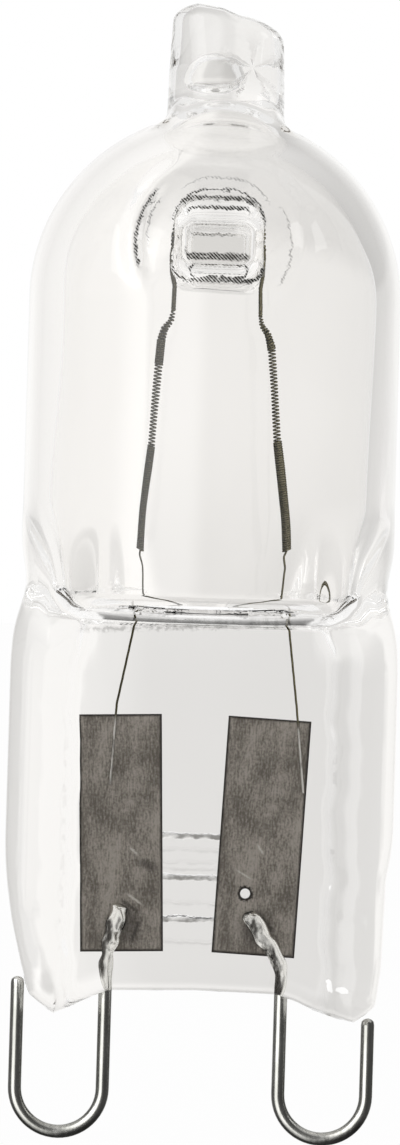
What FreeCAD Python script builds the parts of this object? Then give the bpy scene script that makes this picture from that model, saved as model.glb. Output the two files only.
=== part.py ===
import FreeCAD, Part
import math
import os
import Sketcher

# Halogen capsule bulb with two contact loops.
# +Z is up along the bulb, +X is across the flat pinch, +Y is through its thickness, away from the viewer.
# The origin is midway between the two loops, level with their lowest points. Millimetres and degrees.

# Driving dimensions
DIMENSIONS = {
    # Barrel and dome
    "bulb_radius": 6.355,
    "bulb_wall": 1.0,
    "dome_height": 28.77,
    # Shoulder, where the round barrel turns into the flat pinch: eased at the flanges, a ledge over the web
    "waist_height": 19.3,
    "waist_half_width": 5.89,
    "waist_flange_blend": 0.42,
    "waist_web_blend": 0.03,
    "barrel_foot_rise": 2.6,
    "upper_shoulder_rise": 1.2,
    "upper_shoulder_half_width": 6.17,
    "upper_shoulder_flange_blend": 0.12,
    "upper_shoulder_web_blend": 0.01,
    "lower_shoulder_drop": 1.0,
    "lower_shoulder_half_width": 6.25,
    "lower_shoulder_flange_blend": 0.8,
    "lower_shoulder_web_blend": 0.2,
    "flange_crease_angle": 29.0,
    "web_crease_angle": 36.0,
    # Pinch: a flat web between two thicker flanges
    "pinch_drop": 1.9,
    "pinch_half_width": 6.61,
    "flange_thickness": 3.6,
    "flange_crown": 0.56,
    "flange_inner_half_width": 4.95,
    "web_half_width": 4.35,
    "web_thickness": 2.6,
    # Lower end of the pinch, as the jaws left it
    "web_foot_height": 5.15,
    "web_foot_half_width": 3.0,
    "flange_foot_height": 4.28,
    "left_foot_inset": 1.76,
    "left_bevel_inset": 0.96,
    "left_bevel_height": 4.95,
    "left_taper_inset": 0.61,
    "left_taper_height": 5.9,
    "left_taper_top_height": 8.07,
    "right_foot_inset": 1.18,
    "right_bevel_inset": 0.39,
    "right_bevel_height": 4.85,
    "right_taper_inset": 0.15,
    "right_taper_height": 6.1,
    "right_taper_top_height": 9.2,
    # Gripping recesses at the lower end of the flanges
    "recess_depth": 0.3,
    "recess_top_height": 7.6,
    "recess_foot_height": 5.7,
    "recess_half_width": 0.42,
    "recess_inset": 1.11,
    # Press lines across the back of the web
    "press_line_depth": 0.06,
    "press_line_width": 0.14,
    "press_line_half_length": 1.5,
    "press_line_offset": -0.3,
    "press_line_height": 7.58,
    "press_line_pitch": 1.43,
    "press_line_count": 3,
    # Gas space
    "gas_floor_drop": 1.05,
    "gas_floor_edge_rise": 0.55,
    "gas_floor_half_width": 4.2,
    "gas_corner_rise": 0.6,
    "gas_corner_radius": 1.2,
    "gas_keel_drop": 0.1,
    "gas_keel_corner": 1.3,
    # Filament support: two dimples pressed in until they meet
    "dimple_height": 30.5,
    "dimple_offset": 0.06,
    "post_half_width": 1.26,
    "post_half_height": 1.3,
    "post_corner": 0.85,
    "dimple_half_width": 0.98,
    "dimple_half_height": 0.8,
    "dimple_corner": 0.4,
    "dimple_mouth_fillet": 0.35,
    "bridge_thickness": 1.0,
    # Exhaust tip, from the top of the dome, and the bubble left in it
    "tip_offset": 0.17,
    "tip_root_depth": 1.225,
    "tip_root_radius": 2.03,
    "tip_middle_rise": 1.475,
    "tip_middle_half_width": 1.97,
    "tip_middle_half_depth": 1.72,
    "tip_top_rise": 3.775,
    "tip_top_half_width": 1.86,
    "tip_top_half_depth": 1.0,
    "tip_slope_drop": 0.8,
    "tip_neck_fillet": 0.6,
    "tip_corner_radius": 0.45,
    "bubble_offset": -0.15,
    "bubble_rise": 1.1,
    "bubble_radius": 0.75,
    # Sealing foils
    "foil_width": 2.83,
    "foil_length": 8.1,
    "foil_thickness": 0.03,
    "foil_front": 0.15,
    "foil_foot_height": 6.45,
    "left_foil_reach": 2.535,
    "left_foil_splay": 2.0,
    "right_foil_reach": 1.945,
    "right_foil_splay": 2.5,
    "burn_hole_reach": 1.62,
    "burn_hole_height": 8.55,
    "burn_hole_radius": 0.17,
    # Contact loops
    "loop_wire": 0.46,
    "loop_pitch": 9.0,
    "loop_spacing": 3.0,
    "loop_pair_offset": -0.06,
    "lead_bend_height": 6.15,
    "lead_bend_radius": 2.0,
    "left_lead_reach": 2.61,
    "left_lead_height": 8.09,
    "left_free_end_height": 5.5,
    "right_lead_reach": 1.72,
    "right_lead_height": 7.91,
    "right_free_end_height": 4.4,
    "weld_margin": 0.15,
    # Filament
    "coil_diameter": 0.25,
    "upper_wire": 0.13,
    "tail_wire": 0.08,
    "tail_weld_depth": 0.015,
    "post_clearance": 0.02,
    "arm_foot_height": 28.2,
    "arm_bend_radius": 0.5,
    "coil_bend_radius": 8.0,
    "tail_bend_radius": 6.0,
    "wire_joint": 0.3,
    "left_coil_top_reach": 1.53,
    "left_coil_top_height": 27.4,
    "left_coil_bend_reach": 1.67,
    "left_coil_bend_height": 23.7,
    "left_coil_foot_reach": 2.04,
    "left_coil_foot_height": 20.2,
    "left_tail_bend_reach": 2.95,
    "left_tail_bend_height": 14.9,
    "left_tail_end_reach": 3.1,
    "left_tail_end_height": 12.14,
    "right_coil_top_reach": 1.66,
    "right_coil_top_height": 27.3,
    "right_coil_bend_reach": 1.88,
    "right_coil_bend_height": 24.0,
    "right_coil_foot_reach": 2.29,
    "right_coil_foot_height": 20.35,
    "right_tail_bend_reach": 3.2,
    "right_tail_bend_height": 14.9,
    "right_tail_end_reach": 3.5,
    "right_tail_end_height": 12.03,
}

# How far cutting outlines reach past the glass, and how far fused features run into each other
CUT_MARGIN = 1.0
# Below this an arc is drawn straight, and a place counts as on a surface
FLAT_ENOUGH = 0.005
# Points closer than this are one point
SAME_PLACE = 1e-6
# Corner position of a four-arc oval, as a share of its half axes
OVAL_CORNER = math.sqrt(0.5)


class Size:
    """A number together with the sheet expression that gives it."""

    def __init__(self, value, text):
        self.value = value
        self.text = text

    def __add__(self, other):
        other = as_size(other)
        return Size(self.value + other.value, f"({self.text} + {other.text})")

    def __sub__(self, other):
        other = as_size(other)
        return Size(self.value - other.value, f"({self.text} - {other.text})")

    def __mul__(self, other):
        other = as_size(other)
        return Size(self.value * other.value, f"({self.text} * {other.text})")

    def __truediv__(self, other):
        other = as_size(other)
        return Size(self.value / other.value, f"({self.text} / {other.text})")

    def __radd__(self, other):
        return as_size(other) + self

    def __rsub__(self, other):
        return as_size(other) - self

    def __rmul__(self, other):
        return as_size(other) * self

    def __neg__(self):
        return Size(-self.value, f"(0 - {self.text})")


def as_size(number):
    """Turn a plain number into a Size."""
    return number if isinstance(number, Size) else Size(float(number), repr(float(number)))


def root(size):
    """Square root of a size."""
    return Size(math.sqrt(size.value), f"sqrt({size.text})")


def cosine(angle):
    """Cosine of an angle in degrees."""
    return Size(math.cos(math.radians(angle.value)), f"cos({angle.text})")


def sine(angle):
    """Sine of an angle in degrees."""
    return Size(math.sin(math.radians(angle.value)), f"sin({angle.text})")


def mix(start, end, share):
    """The size that lies the given share of the way from start to end."""
    return start + (end - start) * share


def arc_radius(half_chord, rise):
    """Radius of the arc that rises so much over a chord."""
    return (half_chord * half_chord + rise * rise) / (2 * rise)


doc = FreeCAD.newDocument("capsule_bulb")
sheet = doc.addObject("Spreadsheet::Sheet", "sizes")
for row, (alias, number) in enumerate(DIMENSIONS.items(), start=1):
    sheet.set(f"A{row}", alias)
    sheet.set(f"B{row}", str(number))
    sheet.setAlias(f"B{row}", alias)
doc.recompute()


def size(alias):
    """The sheet's value with this alias."""
    return Size(float(getattr(sheet, alias)), f"sizes.{alias}")


def bind(feature, path, value):
    """Tie one property of a feature to the sheet."""
    feature.setExpression(path, as_size(value).text)


def origin_plane(body, role):
    """One of a body's own origin planes."""
    return next(plane for plane in body.Origin.OriginFeatures if plane.Role == role)


def new_body(label):
    """An empty body whose label names it."""
    body = doc.addObject("PartDesign::Body", label)
    body.Label = label
    return body


def new_sketch(body, name, role, offset=(0, 0, 0)):
    """A sketch on one of the body's origin planes, shifted in the sketch's own axes."""
    sketch = body.newObject("Sketcher::SketchObject", name)
    sketch.AttachmentSupport = [(origin_plane(body, role), "")]
    sketch.MapMode = "FlatFace"
    for axis, shift in zip("xyz", offset):
        bind(sketch, f"AttachmentOffset.Base.{axis}", shift)
    return sketch


def flat(point):
    """A sketch point as a vector of plain numbers."""
    return FreeCAD.Vector(point[0].value, point[1].value, 0)


def arc_middle(start, end, radius, bulge):
    """The middle of an arc that bulges to the left (1) or right (-1) of its chord."""
    chord = end - start
    left = FreeCAD.Vector(-chord.y, chord.x, 0).normalize()
    rise = radius - math.sqrt(max(radius * radius - chord.Length ** 2 / 4, 0.0))
    return (start + end) * 0.5 + left * (bulge * rise)


def fix(sketch, kind, *where, value):
    """Add one dimension to a sketch and tie it to the sheet."""
    number = sketch.addConstraint(Sketcher.Constraint(kind, *where, value.value))
    bind(sketch, f"Constraints[{number}]", value)


def fix_point(sketch, edge, position, point):
    """Dimension a point from the sketch's origin."""
    fix(sketch, "DistanceX", -1, 1, edge, position, value=point[0])
    fix(sketch, "DistanceY", -1, 1, edge, position, value=point[1])


def draw(sketch, points, arcs=None, closed=True):
    """Draw dimensioned lines and arcs through points.

    arcs maps the number of an edge's first point to its radius and its bulge.
    """
    arcs = arcs or {}
    points = [(as_size(x), as_size(y)) for x, y in points]
    spans = len(points) if closed else len(points) - 1
    ends = []
    for index in range(spans):
        start = flat(points[index])
        end = flat(points[(index + 1) % len(points)])
        if index in arcs:
            radius, bulge = arcs[index]
            middle = arc_middle(start, end, radius.value, bulge)
            edge = sketch.addGeometry(Part.Arc(start, middle, end), False)
            fix(sketch, "Radius", edge, value=radius)
        else:
            edge = sketch.addGeometry(Part.LineSegment(start, end), False)
        turned = (sketch.getPoint(edge, 1) - start).Length > (sketch.getPoint(edge, 2) - start).Length
        ends.append((edge, 2 if turned else 1, 1 if turned else 2))
    for index, (edge, first, last) in enumerate(ends):
        fix_point(sketch, edge, first, points[index])
        if index + 1 < spans or closed:
            following, following_first, _ = ends[(index + 1) % spans]
            sketch.addConstraint(Sketcher.Constraint("Coincident", edge, last, following, following_first))
        else:
            fix_point(sketch, edge, last, points[-1])


def draw_circle(sketch, radius, centre=(0, 0)):
    """Draw a dimensioned circle."""
    radius = as_size(radius)
    centre = (as_size(centre[0]), as_size(centre[1]))
    circle = Part.Circle(flat(centre), FreeCAD.Vector(0, 0, 1), radius.value)
    edge = sketch.addGeometry(circle, False)
    fix(sketch, "Radius", edge, value=radius)
    fix_point(sketch, edge, 3, centre)


def draw_oval(sketch, half_width, half_depth, centre_x):
    """Draw an oval of four arcs; equal halves make it a circle."""
    corner_x = half_width * OVAL_CORNER
    corner_y = half_depth * OVAL_CORNER
    end_radius = arc_radius(corner_y, half_width - corner_x)
    side_radius = arc_radius(corner_x, half_depth - corner_y)
    corners = [(centre_x + sx * corner_x, sy * corner_y) for sx, sy in ((1, -1), (1, 1), (-1, 1), (-1, -1))]
    draw(sketch, corners, {0: (end_radius, -1), 1: (side_radius, -1), 2: (end_radius, -1), 3: (side_radius, -1)})


def draw_rounded_box(sketch, half_width, half_height, corner, centre):
    """Draw a rectangle with rounded corners about a centre."""
    inner_x = half_width - corner
    inner_y = half_height - corner
    points = []
    for across, up in ((1, -1), (1, 1), (-1, 1), (-1, -1)):
        beside = (centre[0] + across * half_width, centre[1] + up * inner_y)
        beyond = (centre[0] + across * inner_x, centre[1] + up * half_height)
        points += [beyond, beside] if across * up < 0 else [beside, beyond]
    draw(sketch, points, {edge: (corner, -1) for edge in (0, 2, 4, 6)})


def set_through(cut):
    """Let a pocket cut through everything, to both sides of its sketch."""
    cut.Type = "ThroughAll"
    cut.SideType = "Symmetric"


def pocket(body, name, sketch):
    """A pocket of one sketch."""
    cut = body.newObject("PartDesign::Pocket", name)
    cut.Profile = sketch
    return cut


def revolve(body, kind, name, sketch, axis):
    """Turn a sketch a full circle about one of its own axes."""
    turned = body.newObject(kind, name)
    turned.Profile = sketch
    turned.ReferenceAxis = (sketch, [axis])
    turned.Angle = 360
    return turned


def loft(body, name, sections):
    """A smooth loft through sketches, in order."""
    skin = body.newObject("PartDesign::AdditiveLoft", name)
    skin.Profile = sections[0]
    skin.Sections = sections[1:]
    skin.Ruled = False
    return skin


def round_edges(body, name, radius, chosen):
    """Fillet the edges of a body's last feature that the test chooses."""
    base = body.Tip
    names = [f"Edge{number}" for number, edge in enumerate(base.Shape.Edges, start=1) if chosen(edge)]
    fillet = body.newObject("PartDesign::Fillet", name)
    fillet.Base = (base, names)
    bind(fillet, "Radius", radius)
    doc.recompute()
    return fillet


def wire_run(body, name, points, bends, diameter, depth):
    """Sweep a round wire along straight runs joined by tangent arcs.

    points lie in the plane y = depth. bends maps a point's number to its bend radius.
    """
    path = new_sketch(body, f"{name}_path", "XZ_Plane", (0, 0, -depth))
    points = [(as_size(x), as_size(z)) for x, z in points]
    stops = []
    arcs = {}
    for index, point in enumerate(points):
        if index not in bends:
            stops.append(point)
            continue
        before, after = points[index - 1], points[index + 1]
        lead_in, lead_out = tangent_points(before, point, after, bends[index])
        if not stops or (flat(stops[-1]) - flat(lead_in)).Length > SAME_PLACE:
            stops.append(lead_in)
        arcs[len(stops) - 1] = (bends[index], turn_side(before, point, after))
        stops.append(lead_out)
    draw(path, stops, arcs, closed=False)
    profile = body.newObject("Sketcher::SketchObject", f"{name}_section")
    doc.recompute()
    profile.AttachmentSupport = [(path, "Edge1"), (path, "Vertex1")]
    profile.MapMode = "NormalToEdge"
    draw_circle(profile, as_size(diameter) / 2)
    run = body.newObject("PartDesign::AdditivePipe", name)
    run.Profile = profile
    run.Spine = path
    doc.recompute()
    return run


def unit(start, end):
    """Unit direction from one sketch point to another."""
    across = end[0] - start[0]
    along = end[1] - start[1]
    length = root(across * across + along * along)
    return across / length, along / length


def tangent_points(before, corner, after, radius):
    """Where a bend of this radius touches the runs on each side of its corner."""
    back = unit(corner, before)
    ahead = unit(corner, after)
    inner = back[0] * ahead[0] + back[1] * ahead[1]
    reach = radius * root((1 + inner) / (1 - inner))
    lead_in = (corner[0] + back[0] * reach, corner[1] + back[1] * reach)
    lead_out = (corner[0] + ahead[0] * reach, corner[1] + ahead[1] * reach)
    return lead_in, lead_out


def turn_side(before, corner, after):
    """Which way a bend's arc bulges: to the right of its chord where the path turns left."""
    first = flat(corner) - flat(before)
    second = flat(after) - flat(corner)
    return -1 if first.cross(second).z > 0 else 1


# Shared places
half_flange = size("flange_thickness") / 2
half_web = size("web_thickness") / 2
gas_radius = size("bulb_radius") - size("bulb_wall")
dome_top = size("dome_height") + size("bulb_radius")
barrel_foot = size("waist_height") + size("barrel_foot_rise")
pinch_top = size("waist_height") - size("pinch_drop")
bridge_centre = (size("dimple_offset"), size("dimple_height"))
past_edge = size("pinch_half_width") + CUT_MARGIN
below_foot = size("flange_foot_height") - CUT_MARGIN


def shoulder_section(body, name, height, half_width, flange_blend, web_blend):
    """One section of the shoulder, part of the way from the barrel's circle to the H of the pinch."""
    radius = size("bulb_radius")
    crease = size("flange_crease_angle")
    web_crease = size("web_crease_angle")
    round_edge = root(radius * radius - half_flange * half_flange)
    pinch_edge = size("pinch_half_width") - size("flange_crown")
    crown_gap = mix(radius - round_edge, size("flange_crown"), flange_blend)
    edge = half_width - crown_gap
    shift = edge - mix(round_edge, pinch_edge, flange_blend)
    flange_x = mix(radius * cosine(crease), size("flange_inner_half_width"), flange_blend) + shift
    flange_y = mix(radius * sine(crease), half_flange, flange_blend)
    web_x = mix(radius * cosine(web_crease), size("web_half_width"), flange_blend) + shift
    web_y = mix(radius * sine(web_crease), half_web, web_blend)
    web_middle = mix(radius, half_web, web_blend)
    sketch = new_sketch(body, name, "XY_Plane", (0, 0, height))
    corners = []
    for across, through in ((1, 1), (-1, 1), (-1, -1), (1, -1)):
        quarter = [
            (across * edge, through * half_flange),
            (across * flange_x, through * flange_y),
            (across * web_x, through * web_y),
        ]
        corners += quarter if across * through > 0 else quarter[::-1]
    crown_radius = arc_radius(half_flange, crown_gap)
    arcs = {5: (crown_radius, -1), 11: (crown_radius, -1)}
    web_rise = web_middle - web_y
    if web_rise.value > FLAT_ENOUGH:
        arcs[2] = arcs[8] = (arc_radius(web_x, web_rise), -1)
    if flange_blend.value < FLAT_ENOUGH:
        for side in (0, 1, 3, 4, 6, 7, 9, 10):
            arcs[side] = (radius, -1)
    draw(sketch, corners, arcs)
    return sketch


def make_blown_glass():
    """The glass before it is hollowed: barrel, dome, shoulder, pinch, tip and dimples."""
    body = new_body("blown_glass")

    profile = new_sketch(body, "barrel_profile", "XZ_Plane")
    draw(
        profile,
        [
            (0, barrel_foot),
            (size("bulb_radius"), barrel_foot),
            (size("bulb_radius"), size("dome_height")),
            (0, dome_top),
        ],
        {2: (size("bulb_radius"), -1)},
    )
    revolve(body, "PartDesign::Revolution", "barrel", profile, "V_Axis")

    round_end = as_size(0)
    flat_end = as_size(1)
    sections = [shoulder_section(body, "barrel_foot", barrel_foot, size("bulb_radius"), round_end, round_end)]
    for name, height in (
        ("upper_shoulder", size("waist_height") + size("upper_shoulder_rise")),
        ("waist", size("waist_height")),
        ("lower_shoulder", size("waist_height") - size("lower_shoulder_drop")),
    ):
        half_width = size(f"{name}_half_width")
        flange_blend = size(f"{name}_flange_blend")
        web_blend = size(f"{name}_web_blend")
        sections.append(shoulder_section(body, name, height, half_width, flange_blend, web_blend))
    loft(body, "shoulder", sections)
    half_width = size("pinch_half_width")
    pinch_end = shoulder_section(body, "pinch_top", pinch_top, half_width, flat_end, flat_end)
    loft(body, "ledge", [sections[-1], pinch_end])

    pinch = body.newObject("PartDesign::Pad", "pinch")
    pinch.Profile = shoulder_section(body, "pinch_section", pinch_top, half_width, flat_end, flat_end)
    pinch.Reversed = True
    bind(pinch, "Length", pinch_top - size("flange_foot_height"))
    doc.recompute()

    foot = new_sketch(body, "foot_outline", "XZ_Plane")
    draw(
        foot,
        [
            (-past_edge, below_foot),
            (-past_edge, size("left_taper_top_height")),
            (-size("pinch_half_width"), size("left_taper_top_height")),
            (size("left_taper_inset") - half_width, size("left_taper_height")),
            (size("left_bevel_inset") - half_width, size("left_bevel_height")),
            (size("left_foot_inset") - half_width, size("flange_foot_height")),
            (-size("web_foot_half_width"), size("web_foot_height")),
            (size("web_foot_half_width"), size("web_foot_height")),
            (half_width - size("right_foot_inset"), size("flange_foot_height")),
            (half_width - size("right_bevel_inset"), size("right_bevel_height")),
            (half_width - size("right_taper_inset"), size("right_taper_height")),
            (size("pinch_half_width"), size("right_taper_top_height")),
            (past_edge, size("right_taper_top_height")),
            (past_edge, below_foot),
        ],
    )
    set_through(pocket(body, "foot_trim", foot))

    recesses = new_sketch(body, "recess_outline", "XZ_Plane", (0, 0, half_flange))
    for side in (-1, 1):
        reach = side * (half_width - size("recess_inset"))
        inner = reach - size("recess_half_width")
        outer = reach + size("recess_half_width")
        shoulder = size("recess_top_height") - size("recess_half_width")
        draw(
            recesses,
            [
                (inner, size("recess_foot_height")),
                (outer, size("recess_foot_height")),
                (outer, shoulder),
                (reach, size("recess_top_height")),
                (inner, shoulder),
            ],
            {2: (size("recess_half_width"), -1), 3: (size("recess_half_width"), -1)},
        )
    front_recess = pocket(body, "front_recesses", recesses)
    bind(front_recess, "Length", size("recess_depth"))
    doc.recompute()
    both_recesses = body.newObject("PartDesign::Mirrored", "recesses")
    both_recesses.Originals = [front_recess]
    both_recesses.MirrorPlane = (origin_plane(body, "XZ_Plane"), [""])
    body.Tip = both_recesses
    doc.recompute()

    line = new_sketch(body, "press_line_outline", "XZ_Plane", (0, 0, -half_web))
    left = size("press_line_offset") - size("press_line_half_length")
    right = size("press_line_offset") + size("press_line_half_length")
    low = size("press_line_height") - size("press_line_width") / 2
    high = size("press_line_height") + size("press_line_width") / 2
    draw(line, [(left, low), (right, low), (right, high), (left, high)])
    first_line = pocket(body, "press_line", line)
    first_line.Reversed = True
    bind(first_line, "Length", size("press_line_depth"))
    doc.recompute()
    lines = body.newObject("PartDesign::LinearPattern", "press_lines")
    lines.Originals = [first_line]
    lines.Direction = (line, ["V_Axis"])
    bind(lines, "Length", size("press_line_pitch") * (size("press_line_count") - 1))
    bind(lines, "Occurrences", size("press_line_count"))
    body.Tip = lines
    doc.recompute()

    tip_top = dome_top + size("tip_top_rise")
    tip_sections = [
        ("tip_root", dome_top - size("tip_root_depth"), "tip_root_radius", "tip_root_radius"),
        ("tip_middle", dome_top + size("tip_middle_rise"), "tip_middle_half_width", "tip_middle_half_depth"),
        ("tip_top", tip_top, "tip_top_half_width", "tip_top_half_depth"),
    ]
    ovals = []
    for name, height, oval_half_width, oval_half_depth in tip_sections:
        oval = new_sketch(body, name, "XY_Plane", (0, 0, height))
        draw_oval(oval, size(oval_half_width), size(oval_half_depth), size("tip_offset"))
        ovals.append(oval)
    loft(body, "exhaust_tip", ovals)
    doc.recompute()

    slope = new_sketch(body, "tip_slope", "XZ_Plane")
    tip_left = size("tip_offset") - size("tip_top_half_width")
    tip_right = size("tip_offset") + size("tip_top_half_width")
    tip_low = tip_top - size("tip_slope_drop")
    corner = size("tip_corner_radius")
    draw(
        slope,
        [
            (tip_left - CUT_MARGIN, tip_top - corner),
            (tip_left, tip_top - corner),
            (tip_left + corner, tip_top),
            (size("tip_offset") - corner, tip_top),
            (tip_right - corner, tip_low),
            (tip_right, tip_low - corner),
            (tip_right + CUT_MARGIN, tip_low - corner),
            (tip_right + CUT_MARGIN, tip_top + CUT_MARGIN),
            (tip_left - CUT_MARGIN, tip_top + CUT_MARGIN),
        ],
        {1: (corner, 1), 4: (corner, 1)},
    )
    set_through(pocket(body, "tip_cut", slope))
    doc.recompute()

    dome_centre = FreeCAD.Vector(0, 0, size("dome_height").value)
    tip_reach = size("tip_root_radius").value + size("tip_offset").value + size("tip_neck_fillet").value

    def at_neck(edge):
        """Whether an edge lies on the dome, close round the tip."""
        spots = [vertex.Point for vertex in edge.Vertexes] + [edge.valueAt(edge.ParameterRange[0])]
        on_dome = all(abs((spot - dome_centre).Length - size("bulb_radius").value) < FLAT_ENOUGH for spot in spots)
        return on_dome and all(math.hypot(spot.x, spot.y) < tip_reach and spot.z > dome_centre.z for spot in spots)

    round_edges(body, "tip_neck", size("tip_neck_fillet"), at_neck)

    half_bridge = size("bridge_thickness") / 2
    for side, name in ((-1, "front"), (1, "back")):
        outline = new_sketch(body, f"dimple_{name}_outline", "XZ_Plane", (0, 0, -side * half_bridge))
        draw_rounded_box(
            outline,
            size("dimple_half_width"),
            size("dimple_half_height"),
            size("dimple_corner"),
            bridge_centre,
        )
        dimple = pocket(body, f"dimple_{name}", outline)
        dimple.Type = "ThroughAll"
        dimple.Reversed = side < 0
    doc.recompute()

    mouth_reach = size("dimple_half_width").value + size("dimple_half_height").value

    def at_mouth(edge):
        """Whether an edge lies where a dimple opens on the dome."""
        spots = [vertex.Point for vertex in edge.Vertexes] + [edge.valueAt(edge.ParameterRange[0])]
        on_dome = all(abs((spot - dome_centre).Length - size("bulb_radius").value) < FLAT_ENOUGH for spot in spots)
        rise = size("dimple_height").value
        return on_dome and all(math.hypot(spot.x, spot.z - rise) < mouth_reach for spot in spots)

    round_edges(body, "dimple_mouths", size("dimple_mouth_fillet"), at_mouth)
    doc.recompute()
    return body


def make_gas_space():
    """The sealed space inside: round, closed off by the pinch below and pierced by the support post."""
    body = new_body("gas_space")
    floor = size("waist_height") - size("gas_floor_drop")
    floor_edge = floor + size("gas_floor_edge_rise")
    floor_arc = arc_radius(size("gas_floor_half_width"), size("gas_floor_edge_rise"))
    profile = new_sketch(body, "gas_profile", "XZ_Plane")
    draw(
        profile,
        [
            (0, floor),
            (size("gas_floor_half_width"), floor_edge),
            (size("waist_half_width") - size("bulb_wall"), size("waist_height") + size("gas_corner_rise")),
            (gas_radius, barrel_foot),
            (gas_radius, size("dome_height")),
            (0, size("dome_height") + gas_radius),
        ],
        {0: (floor_arc, -1), 1: (size("gas_corner_radius"), -1), 4: (gas_radius, -1)},
    )
    revolve(body, "PartDesign::Revolution", "gas_round", profile, "V_Axis")
    doc.recompute()

    corner = size("gas_keel_corner")
    keel_foot = floor - size("gas_keel_drop")
    keel_top = keel_foot + corner
    keel_flat = gas_radius - corner
    keel_side = gas_radius + CUT_MARGIN
    below = keel_foot - CUT_MARGIN
    keel = new_sketch(body, "keel_profile", "YZ_Plane")
    draw(
        keel,
        [
            (-gas_radius, keel_top),
            (-keel_flat, keel_foot),
            (keel_flat, keel_foot),
            (gas_radius, keel_top),
            (keel_side, keel_top),
            (keel_side, below),
            (-keel_side, below),
            (-keel_side, keel_top),
        ],
        {0: (corner, -1), 2: (corner, -1)},
    )
    set_through(pocket(body, "keel", keel))
    doc.recompute()

    post = new_sketch(body, "post_outline", "XZ_Plane")
    draw_rounded_box(
        post,
        size("post_half_width"),
        size("post_half_height"),
        size("post_corner"),
        bridge_centre,
    )
    set_through(pocket(body, "post", post))
    doc.recompute()
    return body


def make_bubble():
    """The closed bubble that sealing left in the tip."""
    body = new_body("tip_bubble")
    radius = size("bubble_radius")
    middle = dome_top + size("bubble_rise")
    profile = new_sketch(body, "bubble_profile", "XZ_Plane", (size("bubble_offset"), 0, 0))
    draw(profile, [(0, middle - radius), (radius, middle), (0, middle + radius)], {0: (radius, -1), 1: (radius, -1)})
    revolve(body, "PartDesign::Revolution", "bubble_round", profile, "V_Axis")
    doc.recompute()
    return body


def make_foil(label, side, reach, splay, burn_hole):
    """One sealing foil, leaning outwards at its top."""
    body = new_body(label)
    lean = sine(splay)
    rise = cosine(splay)
    half = size("foil_width") / 2
    foot = (side * reach, size("foil_foot_height"))
    head = (foot[0] + side * lean * size("foil_length"), foot[1] + rise * size("foil_length"))
    across = (rise * half, -side * lean * half)
    outline = new_sketch(body, f"{label}_outline", "XZ_Plane", (0, 0, -size("foil_front")))
    draw(
        outline,
        [
            (foot[0] - across[0], foot[1] - across[1]),
            (foot[0] + across[0], foot[1] + across[1]),
            (head[0] + across[0], head[1] + across[1]),
            (head[0] - across[0], head[1] - across[1]),
        ],
    )
    if burn_hole:
        draw_circle(outline, size("burn_hole_radius"), (side * size("burn_hole_reach"), size("burn_hole_height")))
    sheet_metal = body.newObject("PartDesign::Pad", label + "_sheet")
    sheet_metal.Profile = outline
    sheet_metal.Reversed = True
    bind(sheet_metal, "Length", size("foil_thickness"))
    doc.recompute()
    return body


def weld_flat(body, name, side, low, high):
    """Flatten the back of a wire where it is welded to the front of its foil."""
    reach = size("pinch_half_width")
    outline = new_sketch(body, f"{name}_outline", "XZ_Plane", (0, 0, -size("foil_front")))
    draw(outline, [(0, low), (side * reach, low), (side * reach, high), (0, high)])
    flattened = pocket(body, name, outline)
    flattened.Type = "ThroughAll"
    doc.recompute()


def make_contact_loop(label, side, lead_reach, lead_height, free_end):
    """One outer lead, from its weld on the foil down and round to the free end of its loop."""
    body = new_body(label)
    radius = size("loop_spacing") / 2
    wire = size("loop_wire") / 2
    centre = size("loop_pair_offset") + side * size("loop_pitch") / 2
    inner = centre - side * radius
    outer = centre + side * radius
    wire_run(
        body,
        f"{label}_wire",
        [(side * lead_reach, lead_height), (inner, size("lead_bend_height")), (inner, wire), (outer, wire),
         (outer, free_end)],
        {1: size("lead_bend_radius"), 2: radius, 3: radius},
        size("loop_wire"),
        as_size(0),
    )
    weld_flat(body, f"{label}_weld", side, size("foil_foot_height") - size("weld_margin"),
              lead_height + CUT_MARGIN)
    return body


def make_filament():
    """The wound wire: a coil leg each side, the arch over the support and the tails into the pinch."""
    body = new_body("filament")
    depth = size("foil_front") - size("tail_wire") / 2 + size("tail_weld_depth")
    off_post = size("post_clearance") + size("upper_wire") / 2
    arm_reach = size("post_half_width") + off_post
    arm_x = {side: size("dimple_offset") + side * arm_reach for side in (-1, 1)}
    arch_corner = size("post_corner") + off_post
    joint = size("wire_joint")
    tops = {}
    for side, name in ((-1, "left"), (1, "right")):
        top = (side * size(f"{name}_coil_top_reach"), size(f"{name}_coil_top_height"))
        bend = (side * size(f"{name}_coil_bend_reach"), size(f"{name}_coil_bend_height"))
        foot = (side * size(f"{name}_coil_foot_reach"), size(f"{name}_coil_foot_height"))
        tops[side] = (top[0], top[1] - joint)
        wire_run(body, f"{name}_coil", [top, bend, foot], {1: size("coil_bend_radius")},
                 size("coil_diameter"), depth)
        tail_bend = (side * size(f"{name}_tail_bend_reach"), size(f"{name}_tail_bend_height"))
        tail_end = (side * size(f"{name}_tail_end_reach"), size(f"{name}_tail_end_height"))
        wire_run(body, f"{name}_tail", [(foot[0], foot[1] + joint), tail_bend, tail_end],
                 {1: size("tail_bend_radius")}, size("tail_wire"), depth)
    crown = size("dimple_height") + size("post_half_height") + off_post
    foot_height = size("arm_foot_height")
    wire_run(
        body,
        "arch",
        [tops[-1], (arm_x[-1], foot_height), (arm_x[-1], crown), (arm_x[1], crown), (arm_x[1], foot_height),
         tops[1]],
        {1: size("arm_bend_radius"), 2: arch_corner, 3: arch_corner, 4: size("arm_bend_radius")},
        size("upper_wire"),
        depth,
    )
    for side, name in ((-1, "left"), (1, "right")):
        weld_flat(body, f"{name}_tail_weld", side, size(f"{name}_tail_end_height") - CUT_MARGIN,
                  size("foil_foot_height") + size("foil_length") + size("weld_margin"))
    return body


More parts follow.
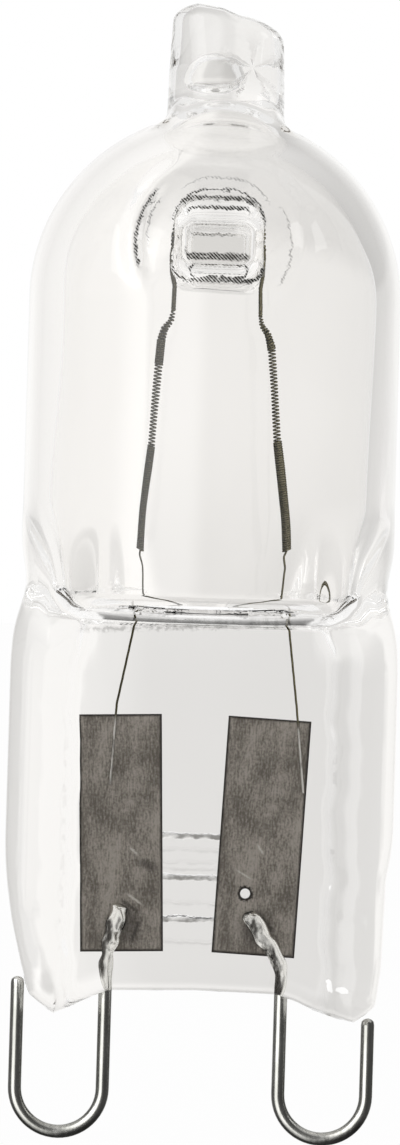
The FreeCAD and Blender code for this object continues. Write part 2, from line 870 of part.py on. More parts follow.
def make_glass_envelope(blown, gas, bubble, metal):
    """The finished glass: hollowed, and closed tightly round the metal that is sealed into it."""
    voids = doc.addObject("Part::MultiFuse", "voids")
    voids.Shapes = [gas, bubble]
    hollow = doc.addObject("Part::Cut", "hollow_glass")
    hollow.Base = blown
    hollow.Tool = voids
    sealed = doc.addObject("Part::MultiFuse", "sealed_metal")
    sealed.Shapes = metal
    envelope = doc.addObject("Part::Cut", "glass_envelope")
    envelope.Label = "glass_envelope"
    envelope.Base = hollow
    envelope.Tool = sealed
    doc.recompute()
    return envelope


blown_glass = make_blown_glass()
gas_space = make_gas_space()
tip_bubble = make_bubble()
foil_left = make_foil("foil_left", -1, size("left_foil_reach"), size("left_foil_splay"), False)
foil_right = make_foil("foil_right", 1, size("right_foil_reach"), size("right_foil_splay"), True)
loop_left = make_contact_loop("contact_loop_left", -1, size("left_lead_reach"), size("left_lead_height"),
                              size("left_free_end_height"))
loop_right = make_contact_loop("contact_loop_right", 1, size("right_lead_reach"), size("right_lead_height"),
                               size("right_free_end_height"))
filament = make_filament()
metal_pieces = [filament, foil_left, foil_right, loop_left, loop_right]
glass_envelope = make_glass_envelope(blown_glass, gas_space, tip_bubble, metal_pieces)

doc.recompute()
for item in doc.Objects:
    if "Invalid" in item.State or "Error" in item.State:
        raise RuntimeError(f"{item.Label} did not build: {item.State}")

sub_parts = [glass_envelope] + metal_pieces
for sub_part in sub_parts:
    if sub_part.Shape.isNull() or not sub_part.Shape.isValid():
        raise RuntimeError(f"{sub_part.Label} has no valid shape")
    if len(sub_part.Shape.Solids) != 1:
        raise RuntimeError(f"{sub_part.Label} has {len(sub_part.Shape.Solids)} solids")

os.makedirs("parts", exist_ok=True)
for sub_part in sub_parts:
    sub_part.Shape.exportStep(f"parts/{sub_part.Label}.step")
    print(sub_part.Label, round(sub_part.Shape.Volume, 4), "mm3")
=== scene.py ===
"""A clear quartz capsule bulb on two wire loops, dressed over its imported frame.

Sizes are in millimetres in the frame of the part: X across the pinch, Y from the viewer to the back, Z up.
Meshes are written in metres.
"""

from __future__ import annotations

import logging
import math
from dataclasses import dataclass
from enum import Enum
from typing import Any, NamedTuple, Sequence, Union

import bpy
import numpy as np
from mathutils import Matrix, Vector

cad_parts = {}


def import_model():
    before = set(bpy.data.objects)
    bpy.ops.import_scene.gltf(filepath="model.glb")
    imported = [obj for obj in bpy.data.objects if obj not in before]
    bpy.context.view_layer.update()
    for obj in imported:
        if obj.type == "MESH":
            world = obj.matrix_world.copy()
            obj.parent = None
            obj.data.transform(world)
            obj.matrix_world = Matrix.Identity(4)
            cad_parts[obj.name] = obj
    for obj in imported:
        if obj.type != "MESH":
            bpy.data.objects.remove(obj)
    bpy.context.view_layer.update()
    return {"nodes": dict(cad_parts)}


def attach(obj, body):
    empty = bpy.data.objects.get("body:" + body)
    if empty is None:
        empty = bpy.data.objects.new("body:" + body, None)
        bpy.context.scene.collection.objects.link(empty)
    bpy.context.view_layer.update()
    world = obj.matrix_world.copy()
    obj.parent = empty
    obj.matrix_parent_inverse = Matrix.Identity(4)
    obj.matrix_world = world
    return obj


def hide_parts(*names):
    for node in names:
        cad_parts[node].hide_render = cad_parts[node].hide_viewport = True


LOG = logging.getLogger("capsule_bulb")
METRES = 0.001
MOST_REFLECTIONS = 9.5
NOISE_MIDDLE = 0.5

Array = np.ndarray
Point = tuple[float, float]
Span = tuple[float, float]
Triple = tuple[float, float, float]
Colour = tuple[float, float, float, float]
Stroke = tuple[Point, Point, float]

WHITE: Colour = (1.0, 1.0, 1.0, 1.0)
SQUARE = np.array([(-1.0, -1.0), (1.0, -1.0), (1.0, 1.0), (-1.0, 1.0)])
SQUARE_FACES = [[0, 1, 2, 3]]


class Side(Enum):
    """The two halves of the lamp, by the sign of X as the viewer sees it."""

    LEFT = -1
    RIGHT = 1


class Winding(Enum):
    """How a stretch of the filament is wound.

    Each value gives turns per millimetre, coil radius, wire radius, and the share of both left at its end.
    """

    FINE = (11.0, 0.016, 0.064, 1.0)
    ARCH = (7.4, 0.075, 0.05, 1.0)
    STRETCHED = (9.5, 0.125, 0.05, 0.45)
    OPEN = (8.2, 0.13, 0.027, 1.0)
    CLOSE = (12.5, 0.135, 0.042, 1.0)
    STRAIGHT = (2.0, 0.002, 0.042, 1.0)


def smooth_min(first: Array, second: Array, radius: Union[float, Array]) -> Array:
    """Joins two distances with a rounded inside corner.

    Args:
        first: distances to one form.
        second: distances to the other form.
        radius: how wide the rounding is.

    Returns:
        The distance to both forms together.
    """
    share = np.clip(0.5 + 0.5 * (second - first) / radius, 0.0, 1.0)
    return second + (first - second) * share - radius * share * (1.0 - share)


def smooth_max(first: Array, second: Array, radius: float) -> Array:
    """Keeps what lies in both forms, with a rounded edge (see smooth_min for the arguments)."""
    return -smooth_min(-first, -second, radius)


def smooth_step(low: float, high: float, value: Array) -> Array:
    """Rises smoothly from 0 at low to 1 at high."""
    share = np.clip((value - low) / (high - low), 0.0, 1.0)
    return share * share * (3.0 - 2.0 * share)


def rounded_corner(first: Array, second: Array, rounding: float) -> Array:
    """Keeps what lies in both forms, with a corner of a set radius.

    Args:
        first: distances to one form.
        second: distances to the other form.
        rounding: the corner's radius.

    Returns:
        The distance to what is kept.
    """
    side, face = first + rounding, second + rounding
    outside = np.hypot(np.maximum(side, 0.0), np.maximum(face, 0.0))
    return outside + np.minimum(np.maximum(side, face), 0.0) - rounding


def outline_distance(corners: Sequence[Point], across: Array, up: Array) -> Array:
    """Signed distance to a closed outline, negative inside.

    Args:
        corners: the outline's corners in order.
        across: first coordinate of the places to measure.
        up: second coordinate of the places to measure.

    Returns:
        One distance for each place.
    """
    nearest = np.full(np.shape(across), np.inf)
    inside = np.zeros(np.shape(across), bool)
    for (x0, z0), (x1, z1) in zip(corners, [*corners[1:], corners[0]]):
        run_x, run_z = x1 - x0, z1 - z0
        share = ((across - x0) * run_x + (up - z0) * run_z) / (run_x**2 + run_z**2)
        share = np.clip(share, 0.0, 1.0)
        away = np.hypot(across - x0 - share * run_x, up - z0 - share * run_z)
        nearest = np.minimum(nearest, away)
        if z0 != z1:
            crosses = (z0 > up) != (z1 > up)
            inside ^= crosses & (across < x0 + (up - z0) * run_x / run_z)
    return np.where(inside, -nearest, nearest)


def surface_net(values: Array, axes: Sequence[Array]) -> tuple[Array, Array]:
    """Meshes the zero surface of a field of distances.

    Args:
        values: distances on a grid, negative inside.
        axes: the grid's places along each axis, rising.

    Returns:
        Vertex places and quads of vertex numbers, facing out.
    """
    inside = values < 0.0
    corners = [(i, j, k) for i in (0, 1) for j in (0, 1) for k in (0, 1)]
    cells = tuple(n - 1 for n in values.shape)

    def shifted(field_values: Array, corner: tuple[int, int, int]) -> Array:
        """The field as each cell sees it at one of its corners."""
        i, j, k = corner
        return field_values[i : i + cells[0], j : j + cells[1], k : k + cells[2]]

    filled = sum(shifted(inside, corner).astype(np.int8) for corner in corners)
    active = (filled > 0) & (filled < len(corners))
    place = np.argwhere(active)
    number = np.full(cells, -1, np.int64)
    number[active] = np.arange(len(place))

    total = np.zeros((len(place), 3))
    crossings = np.zeros((len(place), 1))
    for start in corners:
        for axis in range(3):
            if start[axis]:
                continue
            end = tuple(1 if a == axis else start[a] for a in range(3))
            low = values[tuple((place + start).T)]
            high = values[tuple((place + end).T)]
            cut = (low < 0.0) != (high < 0.0)
            share = np.where(cut, low / np.where(cut, low - high, 1.0), 0.0)
            spot = np.array(start, float) + share[:, None] * (np.array(end) - np.array(start))
            total += np.where(cut[:, None], spot, 0.0)
            crossings += cut[:, None]
    spots = place + total / crossings
    vertices = np.stack([np.interp(spots[:, a], np.arange(len(axes[a])), axes[a]) for a in range(3)], 1)

    quads = []
    for axis in range(3):
        second, third = (axis + 1) % 3, (axis + 2) % 3
        low = np.take(inside, range(values.shape[axis] - 1), axis)
        high = np.take(inside, range(1, values.shape[axis]), axis)
        edge = np.argwhere(low != high)
        faces_up = low[tuple(edge.T)]
        ring = []
        for back_second, back_third in ((1, 1), (0, 1), (0, 0), (1, 0)):
            cell = edge.copy()
            cell[:, second] -= back_second
            cell[:, third] -= back_third
            ring.append(number[tuple(cell.T)])
        quad = np.stack(ring, 1)
        quads.append(np.where(faces_up[:, None], quad, quad[:, ::-1]))
    return vertices, np.concatenate(quads)


def make_mesh_object(
    name: str,
    vertices: Array,
    faces: Sequence[Sequence[int]],
    finish: bpy.types.Material,
) -> bpy.types.Object:
    """Makes a smooth-shaded object at the origin.

    Args:
        name: the object's name.
        vertices: places in millimetres.
        faces: vertex numbers of each face.
        finish: its material.

    Returns:
        The new object, linked to the scene.
    """
    mesh = bpy.data.meshes.new(name)
    mesh.from_pydata((vertices * METRES).tolist(), [], faces)
    mesh.shade_smooth()
    mesh.materials.append(finish)
    thing = bpy.data.objects.new(name, mesh)
    bpy.context.scene.collection.objects.link(thing)
    return thing


class Value:
    """A shader socket that takes part in Python expressions."""

    def __init__(self, sheet: "NodeSheet", socket: bpy.types.NodeSocket) -> None:
        """Wraps a socket of a node sheet."""
        self.sheet = sheet
        self.socket = socket

    def maths(self, operation: str, first: "Operand", second: "Operand" = 0.0) -> "Value":
        """Adds one Math node (operation names it, first and second feed it) and returns its result."""
        return self.sheet.node("ShaderNodeMath", {"operation": operation}, {0: first, 1: second})

    def __add__(self, other: "Operand") -> "Value":
        """Sum."""
        return self.maths("ADD", self, other)

    def __radd__(self, other: "Operand") -> "Value":
        """Sum with a number first."""
        return self.maths("ADD", other, self)

    def __sub__(self, other: "Operand") -> "Value":
        """Difference."""
        return self.maths("SUBTRACT", self, other)

    def __rsub__(self, other: "Operand") -> "Value":
        """Difference from a number."""
        return self.maths("SUBTRACT", other, self)

    def __mul__(self, other: "Operand") -> "Value":
        """Product."""
        return self.maths("MULTIPLY", self, other)

    def __abs__(self) -> "Value":
        """Size without sign."""
        return self.maths("ABSOLUTE", self)

    def larger(self, other: "Operand") -> "Value":
        """The larger of two values."""
        return self.maths("MAXIMUM", self, other)

    def smaller(self, other: "Operand") -> "Value":
        """The smaller of two values."""
        return self.maths("MINIMUM", self, other)

    def ramp(self, low: float, high: float) -> "Value":
        """Rises smoothly from 0 at low to 1 at high, or falls where high is below low."""
        settings = {"interpolation_type": "SMOOTHSTEP"}
        if low < high:
            return self.sheet.node("ShaderNodeMapRange", settings, {0: self, 1: low, 2: high})
        return 1.0 - self.sheet.node("ShaderNodeMapRange", settings, {0: self, 1: high, 2: low})


Operand = Union[Value, float]


@dataclass(frozen=True)
class Grain:
    """Settings of soft noise: scale per millimetre, what each coordinate is multiplied by first, detail."""

    scale: float
    stretch: Triple = (1.0, 1.0, 1.0)
    detail: float = 3.0


class NodeSheet:
    """The node tree of one material or of the world."""

    MIX_FIRST = 6
    MIX_SECOND = 7
    MIX_RESULT = 2

    def __init__(self, owner: Union[bpy.types.Material, bpy.types.World]) -> None:
        """Empties the owner's tree and keeps it."""
        owner.use_nodes = True
        self.owner = owner
        self.tree = owner.node_tree
        self.tree.nodes.clear()

    def node(
        self,
        kind: str,
        settings: dict[str, Any] | None = None,
        inputs: dict[Union[str, int], Any] | None = None,
        output: Union[str, int] = 0,
    ) -> Value:
        """Adds a node.

        Args:
            kind: the node's type.
            settings: its own settings, set first.
            inputs: values or links of its sockets, by name or number.
            output: which of its outputs is returned.

        Returns:
            The chosen output.
        """
        new = self.tree.nodes.new(kind)
        for key, value in (settings or {}).items():
            setattr(new, key, value)
        for key, value in (inputs or {}).items():
            if isinstance(value, Value):
                self.tree.links.new(value.socket, new.inputs[key])
            else:
                new.inputs[key].default_value = value
        return Value(self, new.outputs[output])

    def place(self, centre: Sequence[float] = (0.0, 0.0, 0.0), turn: float = 0.0) -> Value:
        """Object coordinates in millimetres about a centre, turned about Y by an angle in radians."""
        here = self.node("ShaderNodeTexCoord", output="Object")
        per_millimetre = 1.0 / METRES
        moved = self.node(
            "ShaderNodeVectorMath",
            {"operation": "SUBTRACT"},
            {0: here, 1: tuple(c * METRES for c in centre)},
        )
        return self.node(
            "ShaderNodeMapping",
            {"vector_type": "POINT"},
            {"Vector": moved, "Rotation": (0.0, turn, 0.0), "Scale": (per_millimetre,) * 3},
        )

    def parts(self, vector: Value) -> tuple[Value, Value, Value]:
        """The three coordinates of a vector."""
        split = self.node("ShaderNodeSeparateXYZ", inputs={0: vector}).socket.node
        return tuple(Value(self, socket) for socket in split.outputs)

    def noise(self, vector: Value, grain: Grain) -> Value:
        """Soft noise of about 0 to 1 at a place."""
        pulled = self.node("ShaderNodeVectorMath", {"operation": "MULTIPLY"}, {0: vector, 1: grain.stretch})
        return self.node(
            "ShaderNodeTexNoise",
            inputs={"Vector": pulled, "Scale": grain.scale, "Detail": grain.detail},
        )

    def blend(self, share: Operand, first: Any, second: Any) -> Value:
        """Mixes two colours by a share of 0 to 1."""
        inputs = {0: share, self.MIX_FIRST: first, self.MIX_SECOND: second}
        return self.node("ShaderNodeMix", {"data_type": "RGBA"}, inputs, self.MIX_RESULT)

    def bump(self, height: Value, strength: float = 1.0) -> Value:
        """The normal of a surface with small heights in millimetres."""
        inputs = {"Strength": strength, "Distance": METRES, "Height": height}
        return self.node("ShaderNodeBump", inputs=inputs)

    def ray(self, output: str) -> Value:
        """One of the facts about the ray that is being shaded."""
        return self.node("ShaderNodeLightPath", output=output)

    def trapped(self) -> Value:
        """Whether the ray has been thrown about in the glass so often that it is let straight out."""
        depth = self.ray("Glossy Depth")
        return depth.maths("GREATER_THAN", depth, MOST_REFLECTIONS)

    def mix(self, share: Value, first: Value, second: Value) -> Value:
        """Mixes two shaders by a share of 0 to 1."""
        return self.node("ShaderNodeMixShader", inputs={0: share, 1: first, 2: second})

    def finish(self, shader: Value, kind: str = "ShaderNodeOutputMaterial") -> None:
        """Links the last shader to the tree's output."""
        last = self.tree.nodes.new(kind)
        self.tree.links.new(shader.socket, last.inputs["Surface"])


@dataclass(frozen=True)
class PaintedDimpleShade:
    """A dark rounded outline round the dimple, painted shade that stands in for the glass's dark refraction
    edges, shown only within a window.
    """

    middle: Point
    half_sizes: Point
    corner: float
    width: float
    strength: float
    across_span: Point
    height_span: Point
    core_share: float = 0.3
    fade: float = 0.12

    def shade(self, x: Value, z: Value, ragged: Value) -> Value:
        """How dark the mark is at the shaded place."""
        across = abs(x - self.middle[0]) - (self.half_sizes[0] - self.corner)
        up = abs(z - self.middle[1]) - (self.half_sizes[1] - self.corner)
        over_x, over_z = across.larger(0.0), up.larger(0.0)
        outside = x.maths("SQRT", over_x * over_x + over_z * over_z)
        away = outside + across.larger(up).smaller(0.0) - self.corner
        line = abs(away + ragged).ramp(self.width, self.width * self.core_share) * self.strength
        for place, (low, high) in ((x, self.across_span), (z, self.height_span)):
            line = line * place.ramp(low - self.fade, low + self.fade)
            line = line * place.ramp(high + self.fade, high - self.fade)
        return line


@dataclass(frozen=True)
class QuartzGlass:
    """Clear fused quartz with press lines on the back, creases and a star, and painted shade at its dark
    lines and grey edges.

    A span gives where a shade begins and where it is full. Each of lines is a height and a strength.
    Each of creases is a place along X, its lowest and highest point and its share.
    """

    tint: Colour = (0.99, 0.984, 0.975, 1.0)
    haze: Colour = (0.974, 0.968, 0.958, 1.0)
    haze_grain: Grain = Grain(0.35, (1.0, 1.0, 0.4))
    haze_span: Span = (0.3, 0.75)
    # painted shade: near-black for the dark lines round the dimple, along the press lines and at the ledge,
    # standing in for the glass's dark refraction edges
    painted_shade: Colour = (0.05, 0.047, 0.04, 1.0)
    # painted shade: grey for the glass's edges at grazing angles, the crease lines at the flanges and the
    # star on the tip
    edge: Colour = (0.6, 0.59, 0.58, 1.0)
    edge_span: Span = (0.8, 1.0)
    edge_share: float = 0.45
    facing_blend: float = 0.5
    refraction: float = 1.458
    wave_grain: Grain = Grain(0.9, (1.0, 1.0, 0.3), 1.0)
    wave_depth: float = 0.006
    ragged_grain: Grain = Grain(2.2, (1.0, 1.0, 1.5), 4.0)
    ragged_size: float = 0.22
    lines: tuple[Point, ...] = (
        (7.58, 1.0), (9.01, 1.0), (10.44, 1.0), (9.92, 0.36),
        (9.5, 0.33), (9.28, 0.36), (8.1, 0.36), (6.78, 0.36),
    )
    line_width: float = 0.16
    line_middle: float = -0.3
    line_ends: Span = (1.5, 1.1)
    line_face: Span = (1.15, 1.25)
    line_depth: float = 0.06
    # painted shade: how dark the press lines on the back are painted; the grooves themselves are bumps
    painted_line_shade_share: float = 0.95
    painted_line_shade_span: Span = (0.2, 0.65)
    painted_line_shade_gaps: Span = (-0.06, 0.03)
    star_centre: Triple = (1.05, -1.5, 36.7)
    star_rays: float = 5.0
    star_wander: float = 12.0
    star_span: Span = (0.2, 1.0)
    star_ends: Span = (1.3, 0.52)
    star_heart: Span = (0.02, 0.3)
    star_front: Span = (-0.6, -1.0)
    star_depth: float = 0.16
    star_share: float = 0.6
    dome_height: float = 28.77
    outside_span: Span = (5.7, 6.0)
    floor_span: Span = (0.8, 0.7)
    dent_front: Span = (0.0, -0.2)
    # painted shade: the dark outlines round the dimple
    painted_dimple_shade_lines: tuple[PaintedDimpleShade, ...] = (
        PaintedDimpleShade((0.04, 31.1), (1.55, 1.25), 1.2, 0.06, 1.0, (-1.6, 1.7), (31.2, 33.0)),
        PaintedDimpleShade((0.02, 31.4), (1.38, 0.66), 0.64, 0.11, 1.2, (-1.25, 1.25), (31.65, 33.0)),
        PaintedDimpleShade((0.03, 31.42), (1.12, 0.3), 0.3, 0.09, 1.2, (-1.05, 1.05), (31.5, 33.0)),
        PaintedDimpleShade((0.05, 31.0), (1.02, 0.02), 0.02, 0.035, 0.8, (-0.9, 0.6), (30.9, 31.2)),
        PaintedDimpleShade((0.03, 30.25), (1.06, 0.04), 0.04, 0.12, 1.05, (-1.1, 1.1), (30.0, 30.5)),
        PaintedDimpleShade((0.08, 29.58), (0.97, 0.23), 0.23, 0.06, 1.1, (-1.0, 1.1), (29.0, 30.0)),
        PaintedDimpleShade((0.05, 30.3), (1.52, 1.05), 0.5, 0.085, 1.2, (-1.6, 1.7), (29.0, 29.75)),
        PaintedDimpleShade((0.06, 30.5), (2.8, 2.8), 2.8, 0.08, 0.9, (-3.0, -1.9), (29.7, 32.3)),
        PaintedDimpleShade((-0.3, 30.75), (2.05, 2.05), 2.05, 0.05, 0.6, (-3.0, -1.75), (30.2, 32.0)),
        PaintedDimpleShade((0.06, 30.5), (2.45, 2.45), 2.45, 0.05, 0.4, (1.9, 3.0), (29.2, 31.8)),
        PaintedDimpleShade((0.1, 31.25), (1.75, 1.5), 1.45, 0.045, 0.5, (-1.2, 1.75), (31.9, 33.2)),
    )
    mark_roughness: float = 0.5
    scratch_grain: Grain = Grain(6.0)
    scratch_size: float = 0.3
    scratch_gain: float = 5.0
    hatch_pitch: float = 0.12
    hatch_span: Span = (-0.8, 0.5)
    hatch_share: float = 0.65
    hatch_least: float = 0.15
    web_front: Span = (0.0, -0.4)
    creases: tuple[tuple[float, float, float, float], ...] = (
        (4.55, 9.3, 14.0, 0.6), (-4.62, 6.0, 14.0, 0.3),
    )
    crease_width: Span = (0.11, 0.033)
    crease_fade: float = 1.0
    crease_wander: float = 0.6
    crease_beads: Grain = Grain(3.4, (1.0, 1.0, 0.8), 2.0)
    crease_bead_span: Span = (0.46, 0.6)
    ledge_line: float = 17.62
    ledge_lean: float = 0.05
    ledge_width: float = 0.16
    ledge_ends: Span = (4.5, 3.7)
    ledge_share: float = 0.6
    ledge_beads: Grain = Grain(4.5)
    ledge_bead_span: Span = (0.36, 0.56)
    bridge: Point = (0.06, 30.5)
    bridge_sides: Span = (1.2, 1.1)
    bridge_ends: Span = (0.85, 0.75)
    bridge_tint: Colour = (0.78, 0.77, 0.75, 1.0)
    tip_span: Span = (35.3, 36.5)
    tip_tint: Colour = (0.9, 0.895, 0.885, 1.0)

    def make(self) -> bpy.types.Material:
        """Builds the material."""
        sheet = NodeSheet(bpy.data.materials.new("quartz_glass_clear"))
        here = sheet.place()
        x, y, z = sheet.parts(here)
        ragged = (sheet.noise(here, self.ragged_grain) - NOISE_MIDDLE) * self.ragged_size
        scratchy = (sheet.noise(here, self.scratch_grain) - NOISE_MIDDLE) * self.scratch_size
        lines: Operand = 0.0
        for height, strength in self.lines:
            lines = abs(z + ragged - height).ramp(self.line_width, 0.0) * strength + lines
        on_back = y.ramp(*self.line_face) * abs(x - self.line_middle).ramp(*self.line_ends)
        # painted shade along the press lines on the back
        painted_line_shade = lines.ramp(*self.painted_line_shade_span) * on_back * ragged.ramp(*self.painted_line_shade_gaps) * self.painted_line_shade_share
        star = self.star(sheet, y, ragged)
        marks = lines * on_back * self.line_depth + star * self.star_depth
        bump = sheet.bump(sheet.noise(here, self.wave_grain) * self.wave_depth - marks)
        # painted shade round the dimple, used below as dark colour and as opaque metal
        pressed = self.pressed(x, y, z, scratchy)
        crease_beads = sheet.noise(here, self.crease_beads).ramp(*self.crease_bead_span)
        ledge_beads = sheet.noise(here, self.ledge_beads).ramp(*self.ledge_bead_span)
        # painted shade: the glass is painted greyer where it is seen at grazing angles
        facing = sheet.node("ShaderNodeLayerWeight", inputs={"Blend": self.facing_blend}, output="Facing")
        colour = sheet.blend(sheet.noise(here, self.haze_grain).ramp(*self.haze_span), self.tint, self.haze)
        for share, shade in (
            (z.ramp(*self.tip_span), self.tip_tint),
            (self.on_bridge(x, y, z), self.bridge_tint),
            # painted shade: grey along the creases at the flanges
            (self.creased(x, y, z, ragged) * crease_beads, self.edge),
            # the star's creases are bumps; the grey along them is painted shade
            (star * self.star_share, self.edge),
            # painted shade: a dark line at the ledge
            (self.at_ledge(x, y, z, scratchy) * ledge_beads, self.painted_shade),
            (facing.ramp(*self.edge_span) * self.edge_share, self.edge),
            # painted shade: dark press lines on the back and dark outlines round the dimple
            (painted_line_shade.larger(pressed), self.painted_shade),
        ):
            colour = sheet.blend(share, colour, shade)
        body = sheet.node(
            "ShaderNodeBsdfPrincipled",
            inputs={
                "Base Color": colour,
                # painted shade round the dimple, made opaque as dark metal
                "Metallic": pressed,
                "Roughness": pressed * self.mark_roughness,
                "IOR": self.refraction,
                "Transmission Weight": 1.0,
                "Normal": bump,
            },
        )
        clear = sheet.node("ShaderNodeBsdfTransparent", inputs={"Color": self.tint})
        sheet.finish(sheet.mix(sheet.ray("Is Shadow Ray").larger(sheet.trapped()), body, clear))
        return sheet.owner

    def pressed(self, x: Value, y: Value, z: Value, scratchy: Value) -> Value:
        """The painted shade of dark hatched lines round the front dent and on its floor, standing in for the
        glass's dark refraction edges.
        """
        up = z - self.dome_height
        radius = x.maths("SQRT", x * x + y * y + up * up)
        in_reach = radius.ramp(*self.outside_span).larger(abs(y).ramp(*self.floor_span))
        hatch = x.maths("SINE", (x + z) * (math.tau / self.hatch_pitch)).ramp(*self.hatch_span)
        hatch = hatch * self.hatch_share + (1.0 - self.hatch_share)
        rough = (hatch + scratchy * self.scratch_gain).larger(self.hatch_least)
        dark: Operand = 0.0
        for mark in self.painted_dimple_shade_lines:
            dark = mark.shade(x, z, scratchy) + dark
        return (dark * rough * in_reach * y.ramp(*self.dent_front)).smaller(1.0)

    def creased(self, x: Value, y: Value, z: Value, ragged: Value) -> Value:
        """The beaded lines where the front of the web runs into the flanges, painted in grey as shade."""
        shade: Operand = 0.0
        for across, low, high, share in self.creases:
            line = abs(x + ragged * self.crease_wander - across).ramp(*self.crease_width)
            line = line * z.ramp(low, low + self.crease_fade) * z.ramp(high, high - self.crease_fade)
            shade = line * share + shade
        return shade * y.ramp(*self.web_front)

    def at_ledge(self, x: Value, y: Value, z: Value, scratchy: Value) -> Value:
        """The ragged line where the ledge of the shoulder meets the front of the web, painted in dark as
        shade.
        """
        line = abs(z - x * self.ledge_lean - self.ledge_line + scratchy).ramp(self.ledge_width, 0.0)
        return line * abs(x).ramp(*self.ledge_ends) * y.ramp(*self.web_front) * self.ledge_share

    def on_bridge(self, x: Value, y: Value, z: Value) -> Value:
        """Where the two dimples nearly meet."""
        across, up = abs(x - self.bridge[0]), abs(z - self.bridge[1])
        return across.ramp(*self.bridge_sides) * up.ramp(*self.bridge_ends) * abs(y).ramp(*self.floor_span)

    def star(self, sheet: NodeSheet, depth: Value, ragged: Value) -> Value:
        """The star of creases where the tip was nipped off, on the viewer's side only; it shapes the bumps
        and sets where grey painted shade goes.
        """
        x, _, z = sheet.parts(sheet.place(self.star_centre))
        angle = x.maths("ARCTAN2", z, x)
        away = x.maths("SQRT", x * x + z * z)
        rays = x.maths("SINE", angle * self.star_rays + ragged * self.star_wander).ramp(*self.star_span)
        fade = away.ramp(*self.star_ends) * away.ramp(*self.star_heart)
        return rays * fade * depth.ramp(*self.star_front)


@dataclass(frozen=True)
class SealingFoil:
    """Thin molybdenum foil, streaked along its length, with dark rims and weld marks."""

    name: str
    centre: Point
    lean: float
    half_width: float
    half_length: float
    weld: Point
    front: float
    burn: Point | None = None
    burn_radius: float = 0.2
    dents: tuple[Stroke, ...] = ()
    scratches: tuple[Stroke, ...] = ()
    dent_share: float = 0.6
    bare: Colour = (0.5, 0.475, 0.43, 1.0)
    dark: Colour = (0.13, 0.116, 0.098, 1.0)
    light: Colour = (0.36, 0.33, 0.292, 1.0)
    rim: Colour = (0.035, 0.03, 0.027, 1.0)
    streak_grain: Grain = Grain(7.0, (2.2, 1.0, 0.5), 8.0)
    crumple_grain: Grain = Grain(14.0, (1.0, 1.0, 0.8), 6.0)
    patch_grain: Grain = Grain(0.9, (1.4, 1.0, 0.7))
    tone_shares: Triple = (0.32, 0.28, 0.4)
    tone_span: Span = (0.4, 0.6)
    rim_insets: Span = (0.12, 0.03)
    rim_wander: float = 0.1
    weld_span: Span = (0.8, 0.3)
    weld_share: float = 0.5
    burn_span: Span = (0.1, 0.03)
    spot_wander: float = 0.25
    stroke_wander: float = 0.15
    stroke_core: float = 0.1
    stroke_full: float = 0.3
    bump_strength: float = 0.6
    bump_depth: float = 0.03
    metal_share: float = 0.85
    roughness: float = 0.36
    roughness_gain: float = 0.2

    def make(self) -> bpy.types.Material:
        """Builds the material."""
        sheet = NodeSheet(bpy.data.materials.new(self.name))
        here = sheet.place((self.centre[0], self.front, self.centre[1]), self.lean)
        streaks = sheet.noise(here, self.streak_grain)
        crumple = sheet.noise(here, self.crumple_grain)
        patches = sheet.noise(here, self.patch_grain)
        of_streaks, of_crumple, of_patches = self.tone_shares
        tone = (streaks * of_streaks + crumple * of_crumple + patches * of_patches).ramp(*self.tone_span)
        welded = self.near(sheet, self.weld, crumple).ramp(*self.weld_span) * self.weld_share
        colour = sheet.blend(tone, self.dark, self.light)
        colour = sheet.blend(self.at_rim(sheet, here, crumple).larger(welded), colour, self.rim)
        for mark in self.dents:
            colour = sheet.blend(self.stroke(sheet, mark, crumple) * self.dent_share, colour, self.rim)
        for mark in self.scratches:
            colour = sheet.blend(self.stroke(sheet, mark, crumple), colour, self.bare)
        if self.burn:
            ring = abs(self.near(sheet, self.burn, crumple) - self.burn_radius).ramp(*self.burn_span)
            colour = sheet.blend(ring, colour, self.rim)
        surface = sheet.node(
            "ShaderNodeBsdfPrincipled",
            inputs={
                "Base Color": colour,
                "Metallic": self.metal_share,
                "Roughness": crumple * self.roughness_gain + self.roughness,
                "Normal": sheet.bump((streaks + crumple) * self.bump_depth, self.bump_strength),
            },
        )
        sheet.finish(surface)
        return sheet.owner

    def at_rim(self, sheet: NodeSheet, here: Value, crumple: Value) -> Value:
        """How strongly the shaded place lies on the foil's rim."""
        x, _, z = sheet.parts(here)
        ragged = (crumple - NOISE_MIDDLE) * self.rim_wander
        begin, full = self.rim_insets
        aside = (abs(x) + ragged).ramp(self.half_width - begin, self.half_width - full)
        return aside.larger((abs(z) + ragged).ramp(self.half_length - begin, self.half_length - full))

    def stroke(self, sheet: NodeSheet, mark: Stroke, ragged: Value) -> Value:
        """How strongly the shaded place lies on a straight mark, given as its start, end and width."""
        start, end, width = mark
        run_x, run_z = end[0] - start[0], end[1] - start[1]
        middle = ((start[0] + end[0]) / 2, self.front, (start[1] + end[1]) / 2)
        along, _, aside = sheet.parts(sheet.place(middle, math.atan2(run_z, run_x)))
        half_length = math.hypot(run_x, run_z) / 2
        away = abs(aside) + (ragged - NOISE_MIDDLE) * self.stroke_wander
        on_line = away.ramp(width, width * self.stroke_core)
        return on_line * abs(along).ramp(half_length, half_length * self.stroke_full)

    def near(self, sheet: NodeSheet, spot: Point, ragged: Value) -> Value:
        """How far the shaded place is from a spot on the foil, with a ragged edge."""
        away = sheet.place((spot[0], self.front, spot[1]))
        span = sheet.node("ShaderNodeVectorMath", {"operation": "LENGTH"}, {0: away}, "Value")
        return span + (ragged - NOISE_MIDDLE) * self.spot_wander


